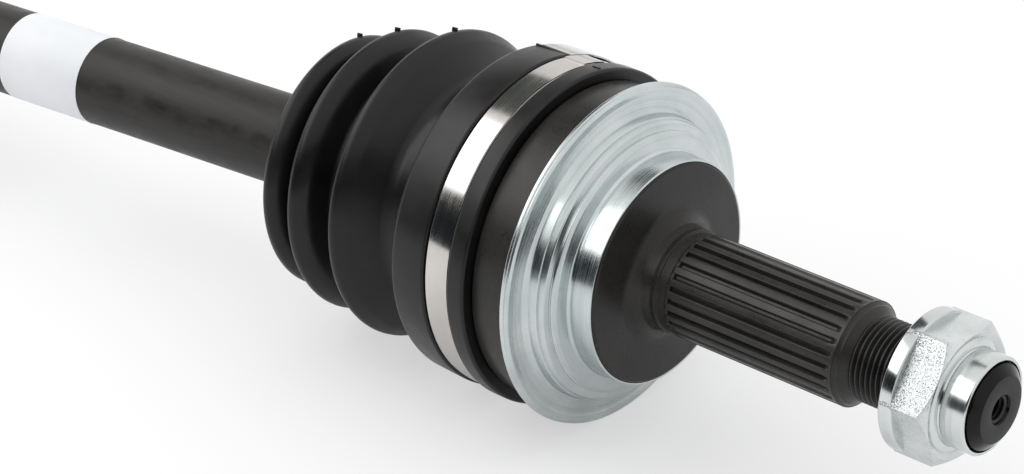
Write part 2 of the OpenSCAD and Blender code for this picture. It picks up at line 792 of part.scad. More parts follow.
module roller(i) {
    half = roller_w / 2;
    inset = roller_crown_r - sqrt(roller_crown_r * roller_crown_r - half * half);
    color(bright) at_trunnion(i) rotate_extrude() polygon(concat(
        [[roller_bore_r, -half], [roller_r - inset, -half]],
        [for (k = [-4 : 4]) [roller_r - inset * k * k / 16, half * k / 4]],
        [
            [roller_bore_r, half], [roller_bore_r, half - 0.5],
            [roller_bore_r + 0.6, half - 0.5], [roller_bore_r + 0.6, ring_half + 0.1],
            [roller_bore_r, ring_half + 0.1], [roller_bore_r, -ring_half - 0.1],
            [roller_bore_r + 0.6, -ring_half - 0.1], [roller_bore_r + 0.6, -half + 0.5],
            [roller_bore_r, -half + 0.5]
        ]
    ));
}

module roller_clips(i) {
    for (s = [-1, 1]) color(bright) at_trunnion(i)
        translate([0, 0, s > 0 ? ring_half + clip_gap : -ring_half - clip_gap - clip_t])
            difference() {
                cylinder(h = clip_t, r = roller_bore_r + 0.5);
                translate([0, 0, -past]) cylinder(h = clip_t + 2 * past, r = inner_ring_r + 0.4);
            }
}

inner_step = (inner_small_end - inner_seat_len - housing_mouth) / (inner_fold_count + 0.5);
inner_clamp_seat = inner_seat_r + rubber_gap + boot_clamp_wall / 2;

function inner_folds(grow) = [for (i = [0 : inner_fold_count - 1])
    let (
        x = housing_mouth + 3 + inner_step * (i + 0.6),
        crest = inner_fold_first
            + (inner_fold_last - inner_fold_first) * i / (inner_fold_count - 1)
    )
        each [
            [x - 2, crest - 0.9 + grow], [x, crest + grow], [x + 2, crest - 1.3 + grow],
            [x + inner_step / 2 - 1, crest - inner_fold_depth + grow],
            [x + inner_step / 2 + 1, crest - inner_fold_depth - 0.6 + grow]
        ]];

module inner_boot() {
    front = housing_mouth - inner_seat_len + soft_gap;
    tail = inner_small_end - small_end_len;
    outside = concat(
        [[front, inner_clamp_seat], [housing_mouth + 1, inner_clamp_seat]],
        inner_folds(0), [[tail, small_boot_r], [inner_small_end, small_boot_r]]
    );
    inside = concat(
        [[front, inner_seat_r + soft_gap], [housing_mouth + soft_gap, inner_seat_r + soft_gap]],
        [[housing_mouth + soft_gap, inner_seat_r - 3]],
        inner_folds(-boot_wall), [[tail, bar_r + soft_gap], [inner_small_end, bar_r + soft_gap]]
    );
    color(rubber) at_spider()
        turned(concat(outside, [for (i = [len(inside) - 1 : -1 : 0]) inside[i]]));
}

// Its ear points down, so the shaft lies on it without rolling
module inner_clamp_large() {
    color(bright) at_spider()
        clamp_band(housing_mouth - inner_seat_len / 2, inner_clamp_seat + soft_gap, clamp_w,
            180 - rest_roll);
}

module inner_clamp_small() {
    color(bright) at_spider()
        clamp_band(inner_small_end - small_end_len / 2, small_boot_r + soft_gap,
            small_end_len - 3, 0);
}

outer_race();
dust_shield();
inner_race();
ball_cage();
joint_balls();
race_circlip();
race_stop_ring();
outer_boot();
outer_clamp_large();
outer_clamp_small();
axle_nut();
bar();
paper_label();
inner_housing();
inner_dust_ring();
stub_circlip();
spider();
spider_circlip();
spider_stop_ring();
inner_boot();
inner_clamp_large();
inner_clamp_small();
inner_ring(0);  // inner_ring_1
inner_ring(1);  // inner_ring_2
inner_ring(2);  // inner_ring_3
needles(0);  // needles_1
needles(1);  // needles_2
needles(2);  // needles_3
roller(0);  // roller_1
roller(1);  // roller_2
roller(2);  // roller_3
roller_clips(0);  // roller_clips_1
roller_clips(1);  // roller_clips_2
roller_clips(2);  // roller_clips_3
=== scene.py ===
import json
import math
import bmesh
import bpy
from mathutils import Matrix, Vector


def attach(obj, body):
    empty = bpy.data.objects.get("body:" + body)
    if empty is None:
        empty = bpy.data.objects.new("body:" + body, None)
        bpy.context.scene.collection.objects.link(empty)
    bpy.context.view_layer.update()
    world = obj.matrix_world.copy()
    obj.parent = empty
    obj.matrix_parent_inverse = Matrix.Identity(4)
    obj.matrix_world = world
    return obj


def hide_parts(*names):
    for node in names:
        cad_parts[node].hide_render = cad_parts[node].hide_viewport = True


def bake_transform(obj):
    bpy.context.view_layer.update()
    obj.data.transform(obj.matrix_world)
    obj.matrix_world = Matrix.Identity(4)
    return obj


# Looks of a front drive shaft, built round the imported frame.
# Lengths in the piece dictionaries are millimetres; x runs along the stub from the hub face.

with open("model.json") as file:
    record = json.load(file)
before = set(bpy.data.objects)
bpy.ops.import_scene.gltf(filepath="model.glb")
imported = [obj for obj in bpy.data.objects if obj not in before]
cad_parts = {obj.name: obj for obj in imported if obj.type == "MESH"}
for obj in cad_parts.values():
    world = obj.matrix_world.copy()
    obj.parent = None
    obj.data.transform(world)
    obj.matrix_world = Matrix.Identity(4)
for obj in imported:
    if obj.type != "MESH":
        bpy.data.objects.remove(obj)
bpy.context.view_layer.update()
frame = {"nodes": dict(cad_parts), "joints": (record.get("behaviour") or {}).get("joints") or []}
mm = 0.001
fullTurn = 2 * math.pi

joints = {joint["name"]: joint for joint in frame["joints"]}
jointPlace = Vector(joints["outer_bend"]["pos_m"])
spiderPlace = Vector(joints["inner_bend"]["pos_m"])
bendAxis = Vector(joints["outer_bend"]["axis"]).normalized()
barLine = (jointPlace - spiderPlace).normalized()


def placeAlong(line, origin):
    side = bendAxis.cross(line)
    turn = Matrix((line, side, bendAxis)).transposed().to_4x4()
    return Matrix.Translation(origin) @ turn


barPlace = placeAlong(barLine, jointPlace)
spiderHome = placeAlong(barLine, spiderPlace)
restBend = math.atan2(barLine.cross(Vector((1, 0, 0))).dot(-bendAxis), barLine.x)
rollTurn = Matrix.Rotation(math.atan2(-bendAxis.y, bendAxis.z), 4, "X")
stubPlace = Matrix.Identity(4)


# shapes

def softened(outline, closed):
    # corners given as (x, r, radius) become arcs
    points = []
    for i, spot in enumerate(outline):
        here = Vector(spot[:2])
        if len(spot) == 2:
            points.append(here)
            continue
        back = Vector(outline[i - 1][:2]) - here
        ahead = Vector(outline[(i + 1) % len(outline)][:2]) - here
        half = back.angle(ahead) / 2
        reach = min(spot[2] / math.tan(half), 0.48 * back.length, 0.48 * ahead.length)
        radius = reach * math.tan(half)
        centre = here + (back.normalized() + ahead.normalized()).normalized() * radius / math.sin(half)
        first = here + back.normalized() * reach - centre
        last = here + ahead.normalized() * reach - centre
        steps = max(2, round((math.pi - 2 * half) / math.radians(12)))
        for k in range(steps + 1):
            t = k / steps
            points.append(centre + (first * (1 - t) + last * t).normalized() * radius)
    return points


def spun(outline, closed=False, place=stubPlace, steps=160):
    bm = bmesh.new()
    points = softened(outline, closed)
    verts = [bm.verts.new((p.x * mm, p.y * mm, 0)) for p in points]
    edges = [bm.edges.new(pair) for pair in zip(verts, verts[1:])]
    if closed:
        edges.append(bm.edges.new((verts[-1], verts[0])))
    bmesh.ops.spin(bm, geom=verts + edges, cent=(0, 0, 0), axis=(1, 0, 0), angle=fullTurn,
                   steps=steps, use_merge=True)
    bmesh.ops.remove_doubles(bm, verts=bm.verts, dist=1e-7)
    bmesh.ops.recalc_face_normals(bm, faces=bm.faces)
    bm.transform(place)
    return bm


def swept(startX, places, radiusAt, angles):
    # a ring of points drawn along x and capped; radiusAt(x, angle) gives its shape at each place
    bm = bmesh.new()
    verts = [bm.verts.new((startX * mm, math.cos(a) * radiusAt(startX, a) * mm,
                           math.sin(a) * radiusAt(startX, a) * mm)) for a in angles]
    ring = [bm.edges.new((v, verts[(i + 1) % len(verts)])) for i, v in enumerate(verts)]
    bm.faces.new(verts)
    for x in places:
        made = bmesh.ops.extrude_edge_only(bm, edges=ring)["geom"]
        for v in [g for g in made if isinstance(g, bmesh.types.BMVert)]:
            a = math.atan2(v.co.z, v.co.y)
            r = radiusAt(x, a)
            v.co = (x * mm, math.cos(a) * r * mm, math.sin(a) * r * mm)
        ring = [g for g in made if isinstance(g, bmesh.types.BMEdge)]
    bmesh.ops.edgeloop_fill(bm, edges=ring)
    bmesh.ops.recalc_face_normals(bm, faces=bm.faces)
    return bm


def joined(*shapes):
    whole = bmesh.new()
    for shape in shapes:
        mesh = bpy.data.meshes.new("part")
        shape.to_mesh(mesh)
        whole.from_mesh(mesh)
        shape.free()
        bpy.data.meshes.remove(mesh)
    return whole


def rawObject(name, bm):
    mesh = bpy.data.meshes.new(name)
    bm.to_mesh(mesh)
    bm.free()
    obj = bpy.data.objects.new(name, mesh)
    bpy.context.scene.collection.objects.link(obj)
    return obj


def combined(base, tool, operation):
    kept, used = rawObject("kept", base), rawObject("used", tool)
    cut = kept.modifiers.new("cut", "BOOLEAN")
    cut.operation = operation
    cut.solver = "EXACT"
    cut.use_self = True
    cut.object = used
    bpy.context.view_layer.update()
    graph = bpy.context.evaluated_depsgraph_get()
    mesh = bpy.data.meshes.new_from_object(kept.evaluated_get(graph))
    bm = bmesh.new()
    bm.from_mesh(mesh)
    for old in (kept, used):
        data = old.data
        bpy.data.objects.remove(old)
        bpy.data.meshes.remove(data)
    bpy.data.meshes.remove(mesh)
    return bm


def piece(name, bm, finish, body=None, standsFor=(), crease=32):
    bmesh.ops.remove_doubles(bm, verts=bm.verts, dist=1e-7)
    bmesh.ops.dissolve_degenerate(bm, edges=bm.edges, dist=1e-7)
    bmesh.ops.recalc_face_normals(bm, faces=bm.faces)
    obj = rawObject(name, bm)
    obj.data.materials.append(finish)
    for polygon in obj.data.polygons:
        polygon.use_smooth = True
    obj.data.set_sharp_from_angle(angle=math.radians(crease))
    if body:
        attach(obj, body)
    if standsFor:
        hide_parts(*standsFor)
    return obj


# finishes

class Bench:
    # a short way to wire one procedural material
    def __init__(self, name, metal=0.0, gloss=0.5, rough=0.5):
        self.material = bpy.data.materials.new(name)
        self.material.use_nodes = True
        self.tree = self.material.node_tree
        self.shader = self.tree.nodes["Principled BSDF"]
        self.put(self.shader, {"Metallic": metal, "Specular IOR Level": gloss, "Roughness": rough})
        self.spot = self.tree.nodes.new("ShaderNodeTexCoord").outputs["Object"]

    def put(self, node, values):
        for key, value in values.items():
            socket = node.inputs[key]
            if isinstance(value, bpy.types.NodeSocket):
                self.tree.links.new(value, socket)
            else:
                socket.default_value = value

    def node(self, kind, values=None, **settings):
        made = self.tree.nodes.new("ShaderNode" + kind)
        for key, value in settings.items():
            setattr(made, key, value)
        self.put(made, values or {})
        return made

    def math(self, operation, a, b=0.0):
        made = self.node("Math", {0: a, 1: b}, operation=operation)
        return made.outputs[0]

    def noise(self, scale, detail=4.0, rough=0.55, vector=None):
        made = self.node("TexNoise", {"Scale": scale, "Detail": detail, "Roughness": rough,
                                      "Vector": vector or self.spot})
        return made.outputs[0]

    def stretched(self, x, y, z):
        made = self.node("Mapping", {"Vector": self.spot, "Scale": (x, y, z)})
        return made.outputs[0]

    def spread(self, value, low, high, fromLow=0.35, fromHigh=0.65):
        made = self.node("MapRange", {"Value": value, "From Min": fromLow, "From Max": fromHigh,
                                      "To Min": low, "To Max": high})
        return made.outputs[0]

    def blend(self, share, a, b):
        made = self.node("Mix", {0: share, 6: a, 7: b}, data_type="RGBA")
        return made.outputs[2]

    def turned(self, place):
        # (distance from the axis, place along it) of a turned piece
        local = self.node("Mapping", {"Vector": self.spot}, vector_type="POINT")
        back = place.inverted()
        local.inputs["Location"].default_value = back.to_translation()
        local.inputs["Rotation"].default_value = back.to_euler()
        parts = self.node("SeparateXYZ", {0: local.outputs[0]})
        flat = self.node("CombineXYZ", {1: parts.outputs[1], 2: parts.outputs[2]})
        length = self.node("VectorMath", {0: flat.outputs[0]}, operation="LENGTH")
        return length.outputs["Value"], parts.outputs[0]

    def relief(self, height, strength, distance, below=None):
        made = self.node("Bump", {"Height": height, "Strength": strength, "Distance": distance})
        if below:
            self.put(made, {"Normal": below})
        return made.outputs[0]

    def done(self, colour, rough, bumps):
        self.put(self.shader, {"Base Color": colour, "Roughness": rough, "Normal": bumps})
        return self.material


def grey(value, warm=0.0):
    return (value * (1 + warm), value, value * (1 - warm), 1)


def darkSteel(name, tone, roughLow, roughHigh, metal, gloss):
    # phosphated and oiled forging: brown-black, finely grained, a little uneven
    b = Bench(name, metal, gloss)
    broad = b.noise(55, 3)
    grain = b.noise(1400, 6, 0.7)
    colour = b.blend(b.spread(broad, 0, 1), grey(tone * 0.8, 0.05), grey(tone * 1.25, 0.07))
    colour = b.blend(b.spread(grain, 0, 0.35, 0.45, 0.8), colour, grey(tone * 2.2, 0.05))
    rough = b.math("ADD", b.spread(b.noise(240, 5), roughLow, roughHigh), b.spread(grain, -0.03, 0.05))
    bumps = b.relief(grain, 0.2, 0.00012)
    bumps = b.relief(b.noise(260, 3), 0.08, 0.0004, bumps)
    return b.done(colour, rough, bumps)


def paintedCrestSteel(name, tone, tips):
    # cut steel under the same black finish, its outermost edges (the thread crests) painted a little lighter
    # in patches: a painted highlight
    b = Bench(name, 0.25, 0.4)
    radius = b.turned(stubPlace)[0]
    grain = b.noise(1400, 6, 0.7)
    colour = b.blend(b.spread(b.noise(70, 3), 0, 1), grey(tone * 0.75, 0.05), grey(tone * 1.25, 0.07))
    patchy = b.math("MULTIPLY", b.spread(grain, 0.45, 1), b.spread(b.noise(180, 4), 0.35, 1))
    # painted highlight: colour lightened on the crests, from just inside radius tips outwards
    paintedCrest = b.spread(b.math("MULTIPLY", radius, 1000), 0, 1, tips - 0.1, tips)
    colour = b.blend(b.math("MULTIPLY", paintedCrest, patchy), colour, grey(tone * 6, 0.06))
    rough = b.math("ADD", b.spread(b.noise(240, 5), 0.26, 0.36), b.math("MULTIPLY", paintedCrest, 0.05))
    bumps = b.relief(grain, 0.18, 0.00012)
    return b.done(colour, rough, bumps)


def rubberFinish(name, tone):
    # moulded chloroprene: soft sheen, fine orange peel, bloom in patches and a few dust specks
    b = Bench(name, gloss=0.34)
    broad = b.noise(38, 4)
    colour = b.blend(b.spread(broad, 0, 1), grey(tone * 0.75, 0.02), grey(tone * 1.3, 0.03))
    dust = b.spread(b.noise(2600, 2, 0.5), 0, 0.5, 0.7, 0.8)
    colour = b.blend(dust, colour, grey(tone * 4, 0.02))
    rough = b.math("ADD", b.spread(b.noise(150, 4), 0.28, 0.37), b.spread(b.noise(30, 2), -0.03, 0.06))
    bumps = b.relief(b.noise(900, 4, 0.6), 0.1, 0.00015)
    bumps = b.relief(b.noise(45, 2), 0.12, 0.0008, bumps)
    return b.done(colour, rough, bumps)


def zincPlate(name, place, shades, rough=0.15, streak=0.12):
    # bright zinc over turned or pressed steel: rings about the axis and a blue-green cast
    b = Bench(name, 1.0)
    low, high = shades
    radius, along = b.turned(place)
    rings = b.node("CombineXYZ", {0: radius, 1: along})
    lines = b.noise(2600, 3, 0.6, rings.outputs[0])
    broadLines = b.noise(420, 2, 0.5, rings.outputs[0])
    clouds = b.noise(70, 4)
    colour = b.blend(b.spread(clouds, 0, 1), low, high)
    colour = b.blend(b.spread(lines, 0, 0.4, 0.48, 0.72), colour, tuple(min(1, v * 1.2) for v in high))
    colour = b.blend(b.spread(broadLines, 0, 0.3, 0.55, 0.7), colour, tuple(v * 0.72 for v in low))
    roughness = b.math("ADD", b.spread(lines, 0, streak), b.spread(clouds, rough - 0.03, rough + 0.05))
    bumps = b.relief(lines, 0.1, 0.00008)
    bumps = b.relief(b.noise(900, 3), 0.05, 0.00006, bumps)
    return b.done(colour, roughness, bumps)


def grainyZinc(name, rawAngle):
    # zinc over the nut's flats: the one at rawAngle stays grainy, the others are smooth with faint stains
    b = Bench(name, 1.0)
    facing = b.node("VectorMath", {0: b.spot, 1: (0, math.cos(rawAngle), math.sin(rawAngle))},
                    operation="DOT_PRODUCT").outputs["Value"]
    ragged = b.math("ADD", facing, b.spread(b.noise(480, 5, 0.7), -0.0006, 0.0006))
    raw = b.spread(ragged, 0, 1, 0.0148, 0.0156)
    fine = b.noise(1500, 5, 0.75)
    along = b.node("SeparateXYZ", {0: b.spot}).outputs[0]
    crowd = b.spread(along, 0.075, 0.0, 0.0815, 0.0845)
    pits = b.math("MULTIPLY", b.spread(b.math("ADD", b.noise(3100, 4, 0.7), crowd), 0, 1, 0.56, 0.64), raw)
    colour = b.blend(b.spread(b.noise(90, 3), 0, 1), (0.60, 0.63, 0.63, 1), (0.72, 0.745, 0.74, 1))
    colour = b.blend(b.math("MULTIPLY", raw, 0.6), colour, (0.66, 0.68, 0.68, 1))
    stains = b.spread(b.noise(230, 5, 0.7), 0, 0.5, 0.58, 0.7)
    colour = b.blend(stains, colour, (0.46, 0.47, 0.46, 1))
    colour = b.blend(pits, colour, (0.2, 0.21, 0.22, 1))
    rough = b.math("ADD", b.spread(fine, 0.2, 0.32), b.math("MULTIPLY", raw, 0.14))
    bumps = b.relief(fine, 0.25, 0.0001)
    bumps = b.relief(b.math("SUBTRACT", 1.0, pits), 0.6, 0.00012, bumps)
    return b.done(colour, rough, bumps)


def bandSteel(name):
    # rolled stainless strip: nearly mirror-like, faint lengthwise scratches
    b = Bench(name, 1.0)
    radius, along = b.turned(stubPlace)
    lines = b.node("CombineXYZ", {0: along, 1: b.math("MULTIPLY", radius, 0.05)})
    scratches = b.noise(5200, 3, 0.6, lines.outputs[0])
    clouds = b.noise(60, 3)
    colour = b.blend(b.spread(clouds, 0, 1), (0.53, 0.505, 0.48, 1), (0.61, 0.585, 0.56, 1))
    rough = b.math("ADD", b.spread(scratches, 0.0, 0.07), b.spread(clouds, 0.07, 0.13))
    return b.done(colour, rough, b.relief(scratches, 0.05, 0.00005))


def groundSteel(name):
    # hardened and ground bearing parts, with fine clouds
    b = Bench(name, 1.0)
    clouds = b.noise(120, 3)
    colour = b.blend(b.spread(clouds, 0, 1), (0.48, 0.49, 0.50, 1), (0.62, 0.63, 0.64, 1))
    rough = b.spread(b.noise(1800, 4), 0.16, 0.3)
    return b.done(colour, rough, b.relief(b.noise(2600, 3), 0.05, 0.00005))


def paintedBar(name):
    # black dip paint on a drawn bar: mottled brown-black with lengthwise draw marks
    b = Bench(name, gloss=0.28)
    marks = b.noise(420, 4, 0.6, b.stretched(0.08, 1, 1))
    mottle = b.noise(160, 5, 0.65)
    colour = b.blend(b.spread(mottle, 0, 1), grey(0.010, 0.07), grey(0.023, 0.08))
    colour = b.blend(b.spread(marks, 0, 0.5), colour, grey(0.033, 0.06))
    rough = b.spread(mottle, 0.34, 0.5)
    bumps = b.relief(marks, 0.16, 0.0002)
    bumps = b.relief(b.noise(1300, 4, 0.6), 0.16, 0.00015, bumps)
    return b.done(colour, rough, bumps)


def paper(name):
    # smooth white stock: faint fibres, slightly cockled where it wraps the bar
    b = Bench(name)
    fibres = b.noise(900, 5, 0.7)
    clouds = b.noise(40, 3)
    colour = b.blend(b.spread(clouds, 0, 1), (0.74, 0.76, 0.79, 1), (0.82, 0.83, 0.85, 1))
    rough = b.spread(fibres, 0.42, 0.6)
    bumps = b.relief(fibres, 0.1, 0.0001)
    bumps = b.relief(b.noise(75, 2), 0.2, 0.0006, bumps)
    return b.done(colour, rough, bumps)


pressedShades = ((0.50, 0.555, 0.555, 1), (0.62, 0.66, 0.66, 1))
turnedShades = ((0.58, 0.61, 0.605, 1), (0.68, 0.705, 0.70, 1))
blackForging = darkSteel("black forging", 0.025, 0.26, 0.36, 0.2, 0.3)
blackTeeth = darkSteel("black machined steel", 0.024, 0.26, 0.38, 0.3, 0.4)
blackThread = paintedCrestSteel("black thread", 0.012, 10.86)
blackEnd = darkSteel("oiled black end", 0.006, 0.08, 0.14, 0.1, 0.2)
bootRubber = rubberFinish("boot rubber", 0.007)
shieldZinc = zincPlate("zinc shield", stubPlace, pressedShades)
nutZinc = zincPlate("zinc nut", stubPlace, turnedShades, 0.12, 0.09)
flatZinc = grainyZinc("zinc flats", math.radians(145))
clampSteel = bandSteel("clamp strip")
bearingSteel = groundSteel("ground steel")
barPaint = paintedBar("bar paint")
labelPaper = paper("label paper")
print("finishes made")


# outer joint forging

race = {"mouthX": -48, "mouthR": 30.4, "seatR": 41, "seatX": -28.2, "bellR": 42.3, "edge": 0.7,
        "shieldSeatX": -15.6, "slope": [(0, 37.2), (3.4, 36.0), (5.2, 33.9)],  # (x from shieldSeatX, radius)
        "bossX": -8.4, "bossR": 29.2, "blendR": 5.6, "lipX": 5.3, "lipEnd": 6.8, "lipR": 13.85, "neckR": 13.3,
        "stubStart": 10.6, "cavityR": 32.5, "cavityDepth": 25.5, "tracks": 6, "ballTrackR": 8.94,
        "trackPathR": 28.52, "trackOffset": 1, "trackFrom": 53.3, "trackTo": 152}


def cavityArc(count=14):
    # inner sphere of the bell, from its floor to its mouth
    start = math.acos(race["cavityDepth"] / race["cavityR"])
    end = math.pi - math.acos((race["mouthX"] + 2 - jointPlace.x / mm) / -race["cavityR"])
    centre = jointPlace.x / mm
    return [(centre + race["cavityR"] * math.cos(start + (end - start) * i / count),
             race["cavityR"] * math.sin(start + (end - start) * i / count)) for i in range(count + 1)]


def bellShape():
    q = race
    return spun([
        (jointPlace.x / mm + q["cavityDepth"], 0), *cavityArc(),
        (q["mouthX"], q["mouthR"] + 1), (q["mouthX"], q["seatR"], q["edge"]),
        (q["seatX"], q["seatR"], 0.4), (q["seatX"], q["bellR"], 0.5),
        (q["shieldSeatX"], q["bellR"], 0.6), *[(q["shieldSeatX"] + x, r) for x, r in q["slope"]],
        (q["bossX"], q["bossR"]), (0, q["bossR"], 0.7),
        (0, q["lipR"] + 3, q["blendR"]), (2.4, q["lipR"] + 0.3, 1.8), (q["lipX"] - 0.1, q["lipR"] - 0.35),
        (q["lipX"], q["lipR"], 0.12), (q["lipEnd"], q["lipR"], 0.25), (q["lipEnd"] + 0.15, q["neckR"], 0.2),
        (q["stubStart"], q["neckR"]), (q["stubStart"], 0)
    ], steps=192)


def trackTubes():
    # the ball tracks' cutters: bent round the joint's centre, set a little behind it
    q = race
    tubes = []
    for i in range(q["tracks"]):
        tube = bmesh.new()
        bmesh.ops.create_circle(tube, cap_ends=True, segments=40, radius=q["ballTrackR"] * mm)
        bmesh.ops.rotate(tube, verts=tube.verts, cent=(0, 0, 0), matrix=Matrix.Rotation(math.pi / 2, 3, "X"))
        bmesh.ops.translate(tube, verts=tube.verts, vec=(q["trackPathR"] * mm, 0, 0))
        bmesh.ops.rotate(tube, verts=tube.verts, cent=(0, 0, 0),
                         matrix=Matrix.Rotation(math.radians(q["trackFrom"]), 3, "Z"))
        bmesh.ops.spin(tube, geom=tube.faces[:] + tube.edges[:] + tube.verts[:], cent=(0, 0, 0),
                       axis=(0, 0, 1), angle=math.radians(q["trackTo"] - q["trackFrom"]), steps=40)
        bmesh.ops.recalc_face_normals(tube, faces=tube.faces)
        tube.transform(Matrix.Translation(jointPlace) @ rollTurn
                       @ Matrix.Rotation(i * fullTurn / q["tracks"], 4, "X")
                       @ Matrix.Translation((-q["trackOffset"] * mm, 0, 0)))
        tubes.append(tube)
    return joined(*tubes)


stub = {"teeth": 26, "tipR": 13.6, "depth": 1.15, "start": 9.5, "ramp": 0.9, "runOut": 57.6, "end": 60.4,
        "bandEnd": 61.2, "coneEnd": 63.6, "threadR": 11, "pitch": 1.5, "threadDepth": 0.92, "length": 99.8,
        "endBevel": 2.4, "endBevelDepth": 1.9, "holeR": 3.5, "mouthR": 3.9, "holeDepth": 12,
        "holePitch": 1.25, "holeRidge": 0.6, "holeWall": 0.25,
        # one turn of the thread from crest to crest: (share of the pitch, share of the depth)
        "threadForm": [(0, 0), (0.06, 0.02), (0.1, 0.1), (0.38, 0.88), (0.45, 0.98), (0.55, 0.98),
                       (0.62, 0.88), (0.9, 0.1), (0.94, 0.02), (1, 0)]}


def toothPhase(angle, teeth):
    # place across one tooth, 0 in its middle
    phase = (angle / fullTurn * teeth) % 1
    return phase - 1 if phase > 0.5 else phase


def toothHeight(phase):
    # 0 in the groove, 1 on the land, with slightly eased edges; phase runs from -0.5 to 0.5
    flank = min(1, max(0, (0.39 - abs(phase)) / 0.12))
    return flank - 0.07 * min(1, max(0, (abs(phase) - 0.225) / 0.045))


def splineRadius(x, angle):
    # the grooves start steeply at the hub and run out gently before the thread
    q = stub
    fade = min(1, max(0, (x - q["runOut"]) / (q["end"] - q["runOut"])))
    ramp = min(1, max(0, (x - q["start"] - 0.3) / q["ramp"]))
    depth = q["depth"] * (1 - fade * fade * (3 - 2 * fade)) * math.sin(ramp * math.pi / 2)
    step = 0.25 * (1 - min(1, max(0, (x - q["start"]) / 0.6)))
    return q["tipR"] - step - depth + depth * toothHeight(toothPhase(angle, q["teeth"]))


def splineShape():
    q = stub
    half = (0.5, 0.43, 0.398, 0.38, 0.29, 0.272, 0.25, 0.225, 0.12)
    marks = [*[-m for m in half], 0, *half[:0:-1]]
    angles = [(k + m) / q["teeth"] * fullTurn for k in range(q["teeth"]) for m in marks]
    ramps = [q["start"] + 0.3 + q["ramp"] * i / 7 for i in range(8)]
    middle = [12, 15, 25, 35, 45, 52, q["runOut"]]
    fades = [q["runOut"] + (q["end"] - q["runOut"]) * i / 12 for i in range(1, 13)]
    return swept(q["start"], [*ramps, *middle, *fades, q["end"] + 0.2], splineRadius, angles)


def threadShape(start, end, tipR, steps=128):
    # one turn of the helix, repeated along the stub and closed at both ends
    pitch, depth = stub["pitch"], stub["threadDepth"]
    turn = bmesh.new()
    verts = [turn.verts.new(((start + t * pitch) * mm, (tipR - depth * d) * mm, 0))
             for t, d in stub["threadForm"]]
    edges = [turn.edges.new(pair) for pair in zip(verts, verts[1:])]
    bmesh.ops.spin(turn, geom=verts + edges, cent=(0, 0, 0), axis=(1, 0, 0), angle=fullTurn, steps=steps,
                   dvec=(pitch * mm / steps, 0, 0))
    turns = [turn]
    for i in range(1, int((end - start) / pitch) - 1):
        copy = turn.copy()
        bmesh.ops.translate(copy, verts=copy.verts, vec=(i * pitch * mm, 0, 0))
        turns.append(copy)
    bm = joined(*turns)
    bmesh.ops.remove_doubles(bm, verts=bm.verts, dist=2e-6)
    bmesh.ops.holes_fill(bm, edges=[e for e in bm.edges if len(e.link_faces) == 1], sides=0)
    bmesh.ops.recalc_face_normals(bm, faces=bm.faces)
    return bm


def bandShape():
    q = stub
    return spun([
        (q["end"] - 0.6, 0), (q["end"] - 0.6, q["tipR"] - 0.1), (q["end"], q["tipR"] - 0.03),
        (q["bandEnd"] - 0.7, q["tipR"] - 0.1, 0.8), (q["bandEnd"] + 0.1, q["tipR"] - 0.9, 0.35),
        (q["bandEnd"] + 0.55, q["tipR"] - 1.0, 0.3), (q["bandEnd"] + 0.8, q["tipR"] - 1.35, 0.3),
        (q["coneEnd"] - 0.3, q["threadR"] - 0.2, 0.5), (q["coneEnd"] + 0.3, q["threadR"] - 0.9, 0.2),
        (q["coneEnd"] + 0.3, 0)
    ])


def endShape():
    q = stub
    start = q["length"] - q["endBevelDepth"] - 1.4
    rim = q["threadR"] - 0.12
    return spun([
        (start, 0), (start, rim - 1), (start + 0.3, rim, 0.2), (q["length"] - q["endBevelDepth"], rim, 0.4),
        (q["length"], rim - q["endBevel"], 0.45), (q["length"], q["mouthR"], 0.2),
        (q["length"] - 0.7, q["holeR"]), (q["length"] - q["holeDepth"], q["holeR"]),
        (q["length"] - q["holeDepth"], 0)
    ])


def holeThread():
    # ridges of the tapped hole, a tube that stands inside it
    q = stub
    out, outer = q["length"] - 0.75, q["holeR"] + q["holeWall"]
    foot, tip = outer - q["holeWall"] - 0.02, q["holeR"] - q["holeRidge"]
    ridges = []
    for i in range(int((q["holeDepth"] - 2) / q["holePitch"])):
        x = out - q["holePitch"] * i
        ridges += [(x, foot), (x - 0.4, tip), (x - 0.62, tip), (x - 1.0, foot)]
    last = ridges[-1][0]
    return spun([(out, outer), *ridges, (last, outer)], closed=True, steps=72)


piece("hub_forging", combined(bellShape(), trackTubes(), "DIFFERENCE"), blackForging, "outer_joint",
      ["outer_race"])
piece("stub_spline", splineShape(), blackTeeth, "outer_joint", crease=28)
piece("stub_shoulder", bandShape(), blackTeeth, "outer_joint")
piece("stub_thread", threadShape(stub["coneEnd"] - 1.6, stub["length"] - stub["endBevelDepth"],
                                 stub["threadR"] - 0.1),
      blackThread, "outer_joint", crease=40)
piece("stub_end", endShape(), blackEnd, "outer_joint")
piece("stub_hole_thread", holeThread(), blackTeeth, "outer_joint", crease=20)
print("outer joint forging made")


# dust shield

shield = {"innerR": 29.25, "collarX": -0.35, "frontX": -14.4, "rimR": 45.5, "sheet": 1.1,
          # the pressed steps from the collar outwards: (x, radius, rounding)
          "steps": [(-7.15, 30.06, 0.9), (-7.75, 33.7, 1.3), (-8.5, 34.85, 0.35), (-9.1, 34.85, 0.12),
                    (-9.15, 35.35, 0.2), (-9.45, 36.7, 0.6), (-10.7, 37.3, 0.18), (-11.05, 36.95, 0.12),
                    (-11.3, 37.55, 0.2), (-13.5, 38.1, 0.7)],
          # the flange and its groove, with x from frontX
          "flange": [(0.1, 39.4, 1.3), (-0.25, 42.4, 2.2), (0.3, 44.4, 0.5), (-0.2, 45.4, 0.35),
                     (-0.6, 44.95, 0.12), (-0.85, 45.45, 0.2)],
          "back": [(-14.0, 37.6), (-12.3, 36.7), (-10.4, 36.0), (-9.7, 34.5), (-8.7, 33.2), (-8.2, 30.8)]}


